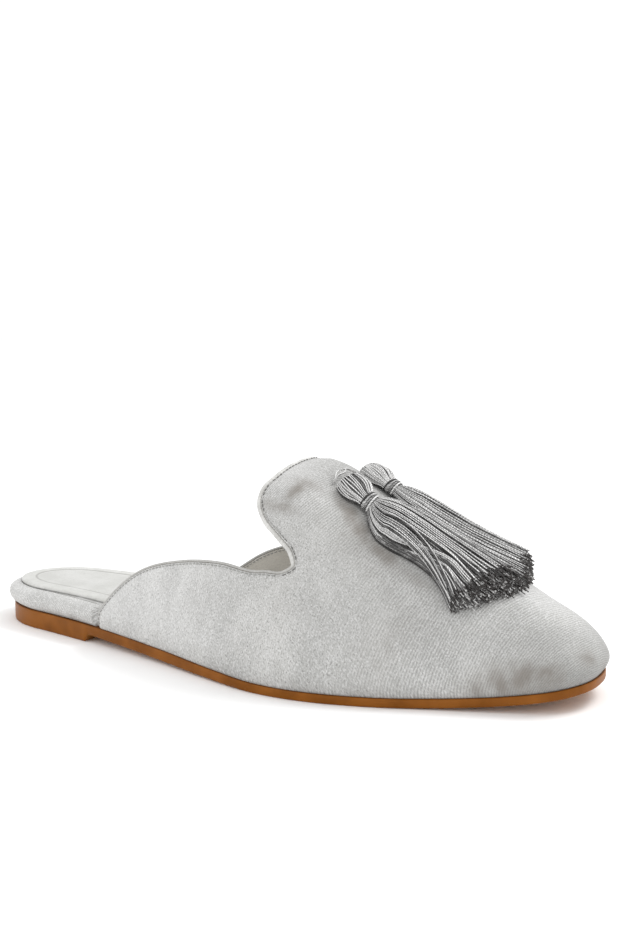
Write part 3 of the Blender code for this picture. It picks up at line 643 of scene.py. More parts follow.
def half_girths():
    """Length of each half section from feather edge to crest, for laying the upper out flat."""
    stations = np.linspace(LATERAL_START, 1, 120)
    levels = np.linspace(0, 1, 25)
    lengths = []
    for way in (-1, 1):
        lines = last(stations[:, None], way * levels[None, :])
        lengths.append(np.linalg.norm(np.diff(lines, axis=1), axis=2).sum(axis=1))
    return stations, lengths


GIRTHS = half_girths()


def lay_out(station, girth):
    """Flat pattern of the upper, nearly true to size: crest in the middle, sides folded out."""
    stations, (lateral, medial) = GIRTHS
    foot_x, foot_y, way_x, way_y, _ = rays(station, girth)
    flat = np.abs(girth) * np.where(girth < 0, np.interp(station, stations, lateral),
                                    np.interp(station, stations, medial))
    return np.stack([foot_x + way_x * flat, foot_y + way_y * flat], -1)


def around_toe(girth, step, phase=0.0, whole=True):
    """Station and girth along one level of the upper: forward on the lateral side, back on the medial one."""
    way = np.linspace(-1, 1 if whole else 0, 1600)
    start = np.where(way < 0, LATERAL_START, MEDIAL_START)
    station = 1 - (1 - start) * way**2
    level = np.where(way < 0, -girth, girth)
    share = resample(lay_out(station, level), step, phase)
    places = np.linspace(0, 1, len(way))
    return np.interp(share, places, station), np.where(np.interp(share, places, way) < 0, -girth, girth)


def well_inside(points, loop, others, margin):
    """True for points inside a closed loop and at least the margin away from its points and others."""
    after = np.roll(loop, -1, axis=0)
    others = np.concatenate([loop, others])
    keep = np.zeros(len(points), bool)
    for index, (x, y) in enumerate(points):
        crossing = (loop[:, 1] > y) != (after[:, 1] > y)
        slope = (after[crossing, 0] - loop[crossing, 0]) / (after[crossing, 1] - loop[crossing, 1])
        inside = (loop[crossing, 0] + slope * (y - loop[crossing, 1]) > x).sum() % 2 == 1
        keep[index] = inside and np.hypot(*(others - (x, y)).T).min() > margin
    return keep


def upper_pattern():
    """Triangles of the trimmed upper: station and girth of each point, and the boundary's point count."""
    station, girth = along_topline(EDGE_STEP)
    edge_s, edge_g = around_toe(1.0, CLOTH_STEP)
    inner = edge_s > np.where(edge_g > 0, MEDIAL_START, LATERAL_START) + 1e-6
    station = np.concatenate([station, edge_s[inner][::-1]])
    girth = np.concatenate([girth, edge_g[inner][::-1]])
    count = len(station)
    loop = lay_out(station, girth)
    rows_s, rows_g, rows_flat = np.empty(0), np.empty(0), np.empty((0, 2))
    for row, distance in enumerate(EDGE_ROWS):
        row_s, row_g = along_topline(EDGE_STEP, 0.5 * ((row + 1) % 2))
        row_s, row_g = from_edge(row_s[2:-2], row_g[2:-2], distance * MM)
        flat = lay_out(row_s, row_g)
        keep = well_inside(flat, loop, rows_flat, 0.4 * MM)
        rows_s, rows_g = np.concatenate([rows_s, row_s[keep]]), np.concatenate([rows_g, row_g[keep]])
        rows_flat = np.concatenate([rows_flat, flat[keep]])
    level_count = int(round(GIRTHS[1][0].mean() / CLOTH_STEP))
    levels = [around_toe(row / level_count, CLOTH_STEP, 0.5 * (row % 2), whole=row > 0)
              for row in range(level_count)]
    inside_s, inside_g = (np.concatenate(part) for part in zip(*levels))
    keep = well_inside(lay_out(inside_s, inside_g), loop, rows_flat, 0.55 * CLOTH_STEP)
    station = np.concatenate([station, rows_s, inside_s[keep]])
    girth = np.concatenate([girth, rows_g, inside_g[keep]])
    flat = [Vector(point) for point in lay_out(station, girth) / MM]
    result = delaunay_2d_cdt(flat, [], [list(range(count))], 1, 1e-5)
    origin = np.array([sources[0] for sources in result[3]])
    return station, girth, count, [[int(origin[corner]) for corner in face] for face in result[2]]


station, girth, count, triangles = upper_pattern()
outer, normal = last(station, girth), outward(station, girth)
cloth = lay_out(station, girth) / MM
collar = last(*along_topline(0.6 * MM))
near = np.array([np.linalg.norm(collar - point, axis=1).min() for point in outer]) / MM


def patch(x, y, long, wide, turn):
    """1 at a place on the cloth, in shares of LENGTH and WIDTH, and less around it: half length and half width
    in millimetres, turn in degrees."""
    angle = np.radians(turn)
    away = cloth - (x * LENGTH / MM, y * WIDTH / MM)
    lengthwise = (away[:, 0] * np.cos(angle) + away[:, 1] * np.sin(angle)) / long
    crosswise = (away[:, 1] * np.cos(angle) - away[:, 0] * np.sin(angle)) / wide
    return np.exp(-lengthwise**2 - crosswise**2)


# Soft troughs and swells of the cloth: patches with a height in millimetres
FORMS = table(
    "station side long wide turn height",
    (0.585, 0.10, 12, 20, 0, 1.30),
    (0.600, -0.62, 20, 6, 100, -0.35), (0.640, -0.70, 24, 7, 80, 0.30), (0.520, -0.66, 18, 6, 75, -0.25),
    (0.440, -0.60, 16, 7, 100, 0.25), (0.700, -0.60, 22, 6, 60, -0.28), (0.760, -0.52, 22, 8, 50, 0.26),
    (0.560, -0.16, 13, 4, 35, -0.45), (0.585, -0.24, 11, 4, 60, 0.30), (0.575, 0.20, 12, 5, -40, -0.35),
    (0.860, -0.40, 16, 6, 40, -0.26), (0.905, -0.34, 14, 5, 30, 0.22), (0.950, -0.12, 14, 5, 5, -0.24),
    (0.600, 0.66, 20, 6, 80, -0.35), (0.500, 0.62, 18, 7, 95, 0.28), (0.720, 0.60, 20, 7, -60, -0.28),
    (0.820, 0.50, 18, 6, -50, 0.24), (0.370, -0.60, 9, 4, 60, -0.22), (0.430, 0.60, 10, 5, 80, -0.24))
soft = np.zeros(len(outer))
for *place, height in zip(*FORMS.values()):
    soft += height * patch(*place)
# small pulls over the feather edge, where the cloth is drawn under the last
foot = np.clip(1 - (outer[:, 2] - seat(outer[:, 0])) / FOOT_HIGH, 0, 1)
pulls = 0.10 * np.sin(cloth[:, 0] / 2.9 + 1.7 * np.sin(cloth[:, 0] / 11.0)) + 0.07 * np.sin(cloth[:, 1] / 2.3)
soft = soft * np.clip((near - CALM_EDGE) / FULL_FORMS, 0, 1) + pulls * foot * np.clip(near / FULL_PULLS, 0, 1)
soft *= np.clip(1 - foot**8, 0, 1)
seam = -STITCH_DEPTH / MM * np.exp(-((near - STITCH_LINE / MM) / DIP_WIDE) ** 2)
roll = -ROLL_DEEP * np.clip(1 - near / ROLL_WIDE, 0, 1) ** 2
roll += RIDGE_HIGH * np.exp(-((near - RIDGE_LINE) / RIDGE_WIDE) ** 2)
shaped = outer + normal * ((soft + seam + roll) * MM)[:, None]
inner = outer - WALL * normal
feather = np.abs(girth) > 1 - 1e-6
inner[feather, 2] = seat(inner[feather, 0])
shaped[feather, 2] -= GAP

# Places where the nap is crushed, and painted shadow beside the near tassel: patches with a strength
CRUSHED_AND_SHADED = table(
    "station side long wide turn strength",
    (0.905, -0.469, 6, 6, 60, 1.15), (0.936, -0.400, 8, 6, 50, 1.25), (0.970, -0.335, 9, 5, 45, 1.20),
    (1.005, -0.110, 6, 5, 60, 0.85), (0.880, -0.540, 12, 5, 60, 0.75), (1.040, 0.02, 9, 5, 80, 0.6),
    (0.593, -0.300, 7, 3, 75, 1.15), (0.580, -0.425, 9, 4, 10, 0.95), (0.604, -0.220, 7, 4, 20, 0.80),
    # painted shadow beside the near tassel: the patches at stations 0.662 to 0.770 darken the vamp along its
    # head and skirt
    (0.662, -0.195, 9, 4.5, -45, 1.25), (0.690, -0.262, 9, 5, -30, 1.25), (0.722, -0.290, 12, 5, -8, 1.00),
    (0.770, -0.300, 13, 4, 3, 0.6), (0.690, -0.38, 18, 7, -20, 0.40), (0.760, -0.66, 28, 7, 70, 0.45),
    (0.330, -0.62, 9, 6, 60, 0.25), (0.480, -0.75, 18, 8, 90, 0.22), (0.620, -0.80, 24, 9, 85, 0.25),
    (0.700, 0.55, 22, 9, -60, 0.4), (0.560, 0.25, 10, 5, -40, 0.6), (0.900, 0.50, 16, 7, -50, 0.6))
crushed_and_shaded = np.zeros(len(outer))
for *place, strength in zip(*CRUSHED_AND_SHADED.values()):
    crushed_and_shaded = np.maximum(crushed_and_shaded, strength * patch(*place))

# Painted light and shade: painted light towards the heel and painted shade at the toe, painted shade in some
# patches and painted light in others, and a little painted shade low over the feather edge
LIGHT_AND_SHADE_ALONG = table(
    "station darker",
    (0.25, -0.22), (0.45, -0.14), (0.60, 0.04), (0.70, 0.03), (0.80, -0.02), (0.88, 0.02), (0.95, 0.32),
    (1.05, 0.38))
LIGHT_AND_SHADE_PATCHES = table(
    "station side long wide turn darker",
    (0.67, 0.00, 24, 14, 0, 0.12), (0.70, -0.42, 34, 14, 0, 0.15), (0.93, 0.05, 17, 14, 0, -0.38),
    (0.585, -0.15, 10, 16, 0, -0.14))
FOOT_SHADE = 0.14
light_and_shade = np.interp(cloth[:, 0] * MM / LENGTH, *LIGHT_AND_SHADE_ALONG.values())
for *place, darker in zip(*LIGHT_AND_SHADE_PATCHES.values()):
    light_and_shade += darker * patch(*place)
light_and_shade += FOOT_SHADE * foot
# On the sides the pile stands up and hides the ribs: it starts this many millimetres off the crest, ends at
# this share of LENGTH, and comes and goes over this many millimetres
SIDE_FROM, SIDE_SOFT = 30, 12
BLUR_END, BLUR_SOFT = 0.80, 30
blurred = (np.clip((BLUR_END * LENGTH / MM - cloth[:, 0]) / BLUR_SOFT, 0, 1)
           * np.clip((np.abs(cloth[:, 1]) - SIDE_FROM) / SIDE_SOFT, 0, 1))

lining = Finish("lining", {"Sheen Weight": 0.12, "Sheen Roughness": 0.5, "Specular IOR Level": 0.25})
weave = lining.node("TexVoronoi", {"feature": "F1"}, {"Vector": lining.place(), "Scale": 1500.0})
mottle = lining.noise(lining.place(), 60.0, 3.0)
beige = lining.mix(mottle.between(0.3, 0.7), (0.53, 0.505, 0.455), (0.62, 0.592, 0.538))
lining_material = lining.feed(Base_Color=lining.mix(weave * 0.25, beige, (0.36, 0.34, 0.305)),
                              Roughness=mottle * 0.15 + 0.72, Normal=lining.relief(weave, 0.00008))
total = len(station)
faces = list(triangles) + [[corner + total for corner in reversed(face)] for face in triangles]
faces += [[place, place + total, (place + 1) % count + total, (place + 1) % count] for place in range(count)]
face_finish = np.zeros(len(faces), int)
face_finish[len(triangles):] = 1
upper = solid("upper_velvet", np.concatenate([shaped, inner]), faces,
              [velvet("velvet"), lining_material], face_finish,
              marks={"rib": np.tile(cloth[:, 0] * np.cos(BIAS) - cloth[:, 1] * np.sin(BIAS), 2),
                     "course": np.tile(cloth[:, 1] * np.cos(BIAS) + cloth[:, 0] * np.sin(BIAS), 2),
                     "crushed_and_shaded": np.tile(crushed_and_shaded, 2), "light_and_shade": np.tile(light_and_shade, 2), "blurred": np.tile(blurred, 2)},
              sharp=1.0)
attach(upper, "root")
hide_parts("upper")


# Collar piping: a thin cord rolled in pale satin and sewn along the whole topline, full on the tongue and drawn
# thin on the quarters, with one row of lockstitch just inside it that draws the velvet down and shows on the
# lining too.
PIPE_SIDES = 12
STITCH_PITCH = 1.9 * MM
STITCH_POINTS = 7
STITCH = 0.38 * MM
# Height of a stitch's middle and depth of its ends at the face, outside and on the lining, in millimetres
STITCH_OUT, STITCH_IN = (0.40, 0.26), (0.34, 0.20)
# Thickness of the piping as a share of PIPING
PIPE_TONGUE = 0.80
PIPE_QUARTER = 0.50
PIPE_WAVER = 0.05 * MM
# The sewing thread looks paler on the quarters: behind this place and below this height
PALE_END = 0.61 * LENGTH
PALE_TOP = 60 * MM
PALE_SOFT = 4 * MM


def fan(base, size, hub):
    """Faces that close a ring of points to a hub."""
    return [[base + corner, base + (corner + 1) % size, hub] for corner in range(size)]


def tubes(routes, radius, turns=6, closed=False):
    """Points, faces and marks of many round strands; radius may run along each strand."""
    points, faces, marks = [], [], {"strand": [], "run": [], "tip": []}
    corner_turn = []
    start = 0
    for index, route in enumerate(routes):
        route = np.asarray(route, float)
        size = len(route)
        tangent = unit(np.roll(route, -1, 0) - np.roll(route, 1, 0) if closed else np.gradient(route, axis=0))
        side = np.empty_like(route)
        first = np.cross(tangent[0], (0.0, 0.0, 1.0))
        side[0] = first / np.linalg.norm(first)
        for place in range(1, size):
            step = side[place - 1] - tangent[place] * (side[place - 1] @ tangent[place])
            side[place] = step / np.linalg.norm(step)
        top = np.cross(side, tangent)
        thick = np.broadcast_to(radius[index] if isinstance(radius, list) else radius, size)
        angle = np.arange(turns) * 2 * np.pi / turns
        ring = (np.cos(angle)[None, :, None] * side[:, None] + np.sin(angle)[None, :, None] * top[:, None])
        points.append((route[:, None] + ring * thick[:, None, None]).reshape(-1, 3))
        run = run_along(route) / MM
        marks["run"].append(np.repeat(run, turns))
        marks["tip"].append(np.repeat(run[-1] - run, turns))
        here = np.arange(size if closed else size - 1)
        ahead = (here + 1) % size
        place, beside = np.arange(turns), (np.arange(turns) + 1) % turns
        quads = np.stack([here[:, None] * turns + place, here[:, None] * turns + beside,
                          ahead[:, None] * turns + beside, ahead[:, None] * turns + place], -1)
        faces += (quads.reshape(-1, 4) + start).tolist()
        corners = np.stack([place, place + 1, place + 1, place], -1).ravel()
        corner_turn.append(np.tile(corners / turns, len(here)))
        size_points = size * turns
        if not closed:
            points.append(route[[0, -1]] + tangent[[0, -1]] * thick[[0, -1], None] * [[-0.4], [0.4]])
            marks["run"].append(run[[0, -1]])
            marks["tip"].append(run[[-1, 0]])
            for hub, base in ((size_points, 0), (size_points + 1, (size - 1) * turns)):
                faces += fan(start + base, turns, start + hub)
                corner_turn.append(np.zeros(3 * turns))
            size_points += 2
        marks["strand"].append(np.full(size_points, (index * 0.618034) % 1))
        start += size_points
    marks = {name: np.concatenate(values) for name, values in marks.items()}
    marks["turn"] = np.concatenate(corner_turn)
    return np.concatenate(points), faces, marks


station, girth = along_topline(EDGE_STEP)
edge, normal = last(station, girth), outward(station, girth)
tangent = np.gradient(edge, axis=0)
away = unit(np.cross(normal, tangent))
on_quarter = np.clip((np.abs(girth) - 0.60) / 0.08, 0, 1)
thick = PIPING / 2 * (PIPE_TONGUE + (PIPE_QUARTER - PIPE_TONGUE) * on_quarter)
route = edge - normal * WALL / 2 + away * (thick + 0.1 * GAP)[:, None]
route += normal * (PIPE_WAVER * np.sin(np.arange(len(route)) * 0.9))[:, None]
route[:, 2] = np.maximum(route[:, 2], seat(route[:, 0]) + thick * 0.9)
points, faces, marks = tubes([route], [thick], PIPE_SIDES)
marks["on_quarter"] = np.concatenate([np.repeat(on_quarter, PIPE_SIDES), [1.0, 1.0]])
satin = Finish("satin", {"Sheen Weight": 0.2, "Sheen Roughness": 0.3, "Specular IOR Level": 0.55})
folds = ((satin.mark("run") * 4.2 + satin.mark("turn") * 12.0).sine() + 1) * 0.5
lustre = satin.noise(satin.place(), 260.0, 3.0)
pale = satin.mix(lustre.between(0.3, 0.7), (0.50, 0.495, 0.475), (0.66, 0.655, 0.635))
pale = satin.mix(folds * 0.18, pale, (0.36, 0.355, 0.34))
# painted shade: the piping is painted darker grey on the quarters than on the tongue
pale = satin.mix(satin.mark("on_quarter") * 0.55, pale, (0.27, 0.265, 0.25))
satin_material = satin.feed(Base_Color=pale, Roughness=lustre * 0.2 + 0.30,
                            Normal=satin.relief(folds, 0.00005))
piping = solid("collar_piping", points, faces, [satin_material], marks=marks, sharp=None)
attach(piping, "root")
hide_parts("topline_binding")

station, girth = along_topline(STITCH_PITCH / (STITCH_POINTS + 1))
station, girth = from_edge(station, girth, STITCH_LINE)
line = last(station, girth)
face_out = outward(station, girth)
routes = []
arch = np.sin(np.linspace(0, np.pi, STITCH_POINTS)) ** 0.7
for first in range(STITCH_POINTS + 1, len(line) - 2 * STITCH_POINTS, STITCH_POINTS + 1):
    span = slice(first, first + STITCH_POINTS)
    outside, inside = ((arch * high - low) * MM for high, low in (STITCH_OUT, STITCH_IN))
    routes.append(line[span] + face_out[span] * outside[:, None])
    routes.append(line[span] - face_out[span] * (WALL + inside)[:, None])
points, faces, marks = tubes(routes, STITCH / 2, 6)
marks["pale"] = np.clip((PALE_END - points[:, 0]) / PALE_SOFT, 0, 1) * (points[:, 2] < PALE_TOP)
sewing = Finish("sewing_thread", {"Sheen Weight": 0.2, "Specular IOR Level": 0.35})
ply = ((sewing.mark("run") * 7.5 + sewing.mark("turn") * 6.28).sine() + 1) * 0.5
sewn = sewing.mix(ply, (0.075, 0.072, 0.068), (0.22, 0.215, 0.205))
sewn = sewing.mix(sewing.mark("strand").between(0.74, 0.90) * 0.6, sewn, (0.62, 0.62, 0.60))
sewn = sewing.mix(sewing.mark("pale") * 0.7, sewn, (0.36, 0.36, 0.345))
sewing_material = sewing.feed(Base_Color=sewn, Roughness=ply * 0.2 + 0.5, Normal=sewing.relief(ply, 0.00008))
stitches = solid("collar_stitches", points, faces, [sewing_material], marks=marks, sharp=None)
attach(stitches, "root")


# Tassels: two skeins of silky twisted thread, folded over, bound at the neck and cut off at the end. Each head
# is a roll of nested loops, and each skirt spreads over the vamp with its threads in loose locks that cross.
TASSEL_WIDTH = 0.294 * WIDTH
TASSEL_DEPTH = 8.5 * MM
DRAPE_GAP = 0.7 * MM
WRAP_THICK = 0.6 * MM
THREAD = 0.22 * MM
SKIRT_THREADS, SKIRT_POINTS, SKIRT_SIDES = 78, 38, 5
HEAD_THREADS, HEAD_POINTS, HEAD_SIDES = 40, 22, 6
CUT_THREADS, CUT_POINTS = 46, 7
SEED = {"lateral": 11, "medial": 23}
# Share of each head's dark tones kept: the heads, the medial one most, are painted lighter as painted light
HEAD_PAINTED_LIGHT = {"lateral": 0.95, "medial": 0.52}
# Threads at the outer side of the skirt that cross over as many beside them
CROSSING = {"lateral": 15, "medial": 7}
# Layers of the skirt from outside in: share of the depth, way past the cut, lightness (the inner layers painted
# darker as shade)
SKIRT_LAYERS = ((1.0, -0.012, 1.0), (0.88, 0.0, 0.45), (0.74, 0.006, 0.30))
# Layers of the head: share of the depth, lightness (the inner layer painted darker as shade)
HEAD_LAYERS = ((1.0, 1.0), (0.86, 0.5))
NECK = 0.17
CUT_START = 0.5
CUT_SLOPE = 0.09
# Mark tip is the way from a thread's cut end in millimetres, times one of these: an unshaded tip has hardly any
# painted shade at its end, the threads inside the skirt often have a long stretch of it, and those of the head
# and neck have none
UNSHADED_TIP = 4.0
INNER_TIPS = [0.12, 0.12, 0.2, UNSHADED_TIP]
FAR_FROM_TIP = 50.0
NECK_TURNS = 4
TURN_PITCH = 0.72 * MM
TURN_THREAD = 0.36 * MM
# Dark sheet of painted shade inside the tassel: points over and under it, and its shares of the tassel's width
# and depth
CORE_TOP, CORE_UNDER = 24, 6
CORE_WIDE, CORE_DEEP = 0.88, 0.74

# Tassel lines in plan from head over neck to cut end: shares of LENGTH and of WIDTH
TASSEL_LINES = {
    "lateral": table(
        "along station side",
        (0.00, 0.638, -0.080), (0.17, 0.682, -0.123), (0.34, 0.717, -0.108), (0.65, 0.786, -0.116),
        (1.00, 0.858, -0.140), (1.15, 0.889, -0.149)),
    "medial": table(
        "along station side",
        (0.00, 0.632, 0.163), (0.17, 0.678, 0.120), (0.34, 0.716, 0.150), (0.65, 0.788, 0.175),
        (1.00, 0.866, 0.192), (1.15, 0.899, 0.199))}
# Place on its line where each tassel's lowest threads are cut, from its lateral to its medial side
CUT = table(
    "across lateral medial",
    (-1.0, 0.885, 1.10), (-0.5, 1.00, 1.09), (0.0, 1.075, 1.07), (1.0, 1.15, 0.98))
# Tassel sections: half widths to the outer and the inner side as shares of TASSEL_WIDTH, depth as a
# share of TASSEL_DEPTH, lift off the vamp as a share of the wrap's thickness
TASSEL = table(
    "along outer inner depth lift",
    (0.000, 0.13, 0.13, 0.34, 0.3), (0.012, 0.19, 0.20, 0.58, 0.0), (0.045, 0.23, 0.24, 0.74, 0.0),
    (0.100, 0.22, 0.22, 0.72, 0.5), (0.145, 0.15, 0.15, 0.44, 1.6), (0.195, 0.15, 0.15, 0.44, 1.6),
    (0.216, 0.30, 0.21, 0.53, 1.2), (0.245, 0.40, 0.27, 0.63, 0.6), (0.320, 0.47, 0.36, 0.76, 0.0),
    (0.380, 0.47, 0.41, 0.79, 0.0), (0.450, 0.45, 0.44, 0.81, 0.0), (0.520, 0.41, 0.46, 0.83, 0.0),
    (0.600, 0.37, 0.47, 0.85, 0.0), (0.670, 0.36, 0.48, 0.88, 0.0), (0.740, 0.38, 0.48, 0.92, 0.0),
    (0.810, 0.43, 0.49, 0.96, 0.0), (0.880, 0.49, 0.49, 1.00, 0.0), (1.000, 0.53, 0.49, 1.05, 0.0),
    (1.150, 0.54, 0.49, 1.08, 0.0))


def over_vamp(x, y, height):
    """Points over places in plan, raised off the upper's outer face along its normal."""
    x, y = np.asarray(x, float), np.asarray(y, float)
    station = x / LENGTH
    for _ in range(4):
        low, high = np.full(x.shape, -0.97), np.full(x.shape, 0.97)
        for _ in range(16):
            girth = (low + high) / 2
            short = last(station, girth)[..., 1] < y
            low, high = np.where(short, girth, low), np.where(short, high, girth)
        station = station + (x - last(station, girth)[..., 0]) / LENGTH
    return last(station, girth) + np.asarray(height)[..., None] * outward(station, girth)


def on_tassel(which, place, across, level, lift=0.0):
    """Points of a tassel: across runs from -1 to 1 in plan, level from 0 below to 1 on the domed top."""
    line = TASSEL_LINES[which]
    place, across, level = np.broadcast_arrays(np.asarray(place, float), across, level)
    round_top = np.sqrt(np.clip(1 - across**2, 0, 1))
    late = np.clip((place - CUT_START) / (1 - CUT_START), 0, 1) ** 2
    along = place + (curve(CUT["across"], CUT[which])(across) - CUT_SLOPE * level * round_top - 1) * late
    x_at, y_at = curve(line["along"], line["station"] * LENGTH), curve(line["along"], line["side"] * WIDTH)
    step = 1e-3
    way = unit(np.stack([x_at(along + step) - x_at(along - step), y_at(along + step) - y_at(along - step)], -1))
    outer, inner, depth, raised = (column(TASSEL, name, key="along")(np.clip(along, 0, 1.17))
                                   for name in ("outer", "inner", "depth", "lift"))
    wide = across * np.where(across * line["side"][-1] > 0, outer, inner) * TASSEL_WIDTH
    height = DRAPE_GAP + np.maximum(raised, 0) * WRAP_THICK
    height = height + level * round_top**0.8 * depth * TASSEL_DEPTH + lift
    return over_vamp(x_at(along) - way[..., 1] * wide, y_at(along) + way[..., 0] * wide, height)


def spread(which, paths):
    """Routes of many threads at once: each path gives place, across, level and lift along one thread."""
    sizes = [len(path[0]) for path in paths]
    parts = [np.concatenate([np.broadcast_to(path[part], size) for path, size in zip(paths, sizes)])
             for part in range(4)]
    return np.split(on_tassel(which, *parts), np.cumsum(sizes)[:-1])


def per_thread(values, routes, sides):
    """A number of each thread, for all the points that tubes makes of it."""
    return np.repeat(values, [len(route) * sides + 2 for route in routes])


def shades(chance, count):
    """Lightness of neighbouring threads: short runs of light ones and of dark ones."""
    light = np.cumsum(chance.random(count) < 0.80) % 2 == 0
    return np.where(light, chance.uniform(0.62, 1.0, count), chance.uniform(0.0, 0.28, count))


def silk(name, dark, light, tip_shade):
    """Silky thread: two plies that catch the light, each strand a little lighter or darker than the next."""
    made = Finish(name, {"Sheen Weight": 0.1, "Sheen Roughness": 0.35, "Specular IOR Level": 0.6})
    run, turn, strand, tip = (made.mark(mark) for mark in ("run", "turn", "strand", "tip"))
    ply = ((run * (2 * np.pi / 1.15) + turn * (4 * np.pi) + strand * 97.0).sine() + 1) * 0.5
    streak = made.noise(made.node("CombineXYZ", None, {"X": run * 0.30, "Y": strand * 37.0, "Z": turn * 1.5}),
                        1.0, 3.0, 0.6)
    tone = (strand * 1.05 + streak * 1.3 - 0.72).between(0.0, 1.0)
    colour = made.mix(tone, dark, light)
    colour = made.mix((1 - ply) ** 1.5 * 0.55, colour, tuple(part * 0.30 for part in dark))
    flecks = made.noise(made.node("CombineXYZ", None, {"X": run * 1.4, "Y": strand * 61.0, "Z": 0.0}), 1.0, 2.0)
    # painted shade at the cut: the last millimetres of a thread are painted near black, broken by small gaps
    shaded_tips = (1 - tip.between(0.3, 2.2)) * (1 - flecks.between(0.54, 0.58)) * tip_shade
    colour = made.mix(shaded_tips, colour, (0.018, 0.012, 0.010))
    return made.feed(Base_Color=colour, Roughness=0.46 - ply * 0.16,
                     Metallic=ply * 0.25, Normal=made.relief(ply, 0.00006))


thread_finish = silk("thread", (0.028, 0.026, 0.025), (0.93, 0.925, 0.915), 0.95)
inner_shade = Finish("tassel_shade", {"Roughness": 0.9, "Specular IOR Level": 0.1})
inner_shade_noise = inner_shade.noise(inner_shade.place(), 1400.0)
inner_shade_material = inner_shade.feed(Base_Color=inner_shade.mix(inner_shade_noise, (0.014, 0.012, 0.011), (0.055, 0.05, 0.047)))

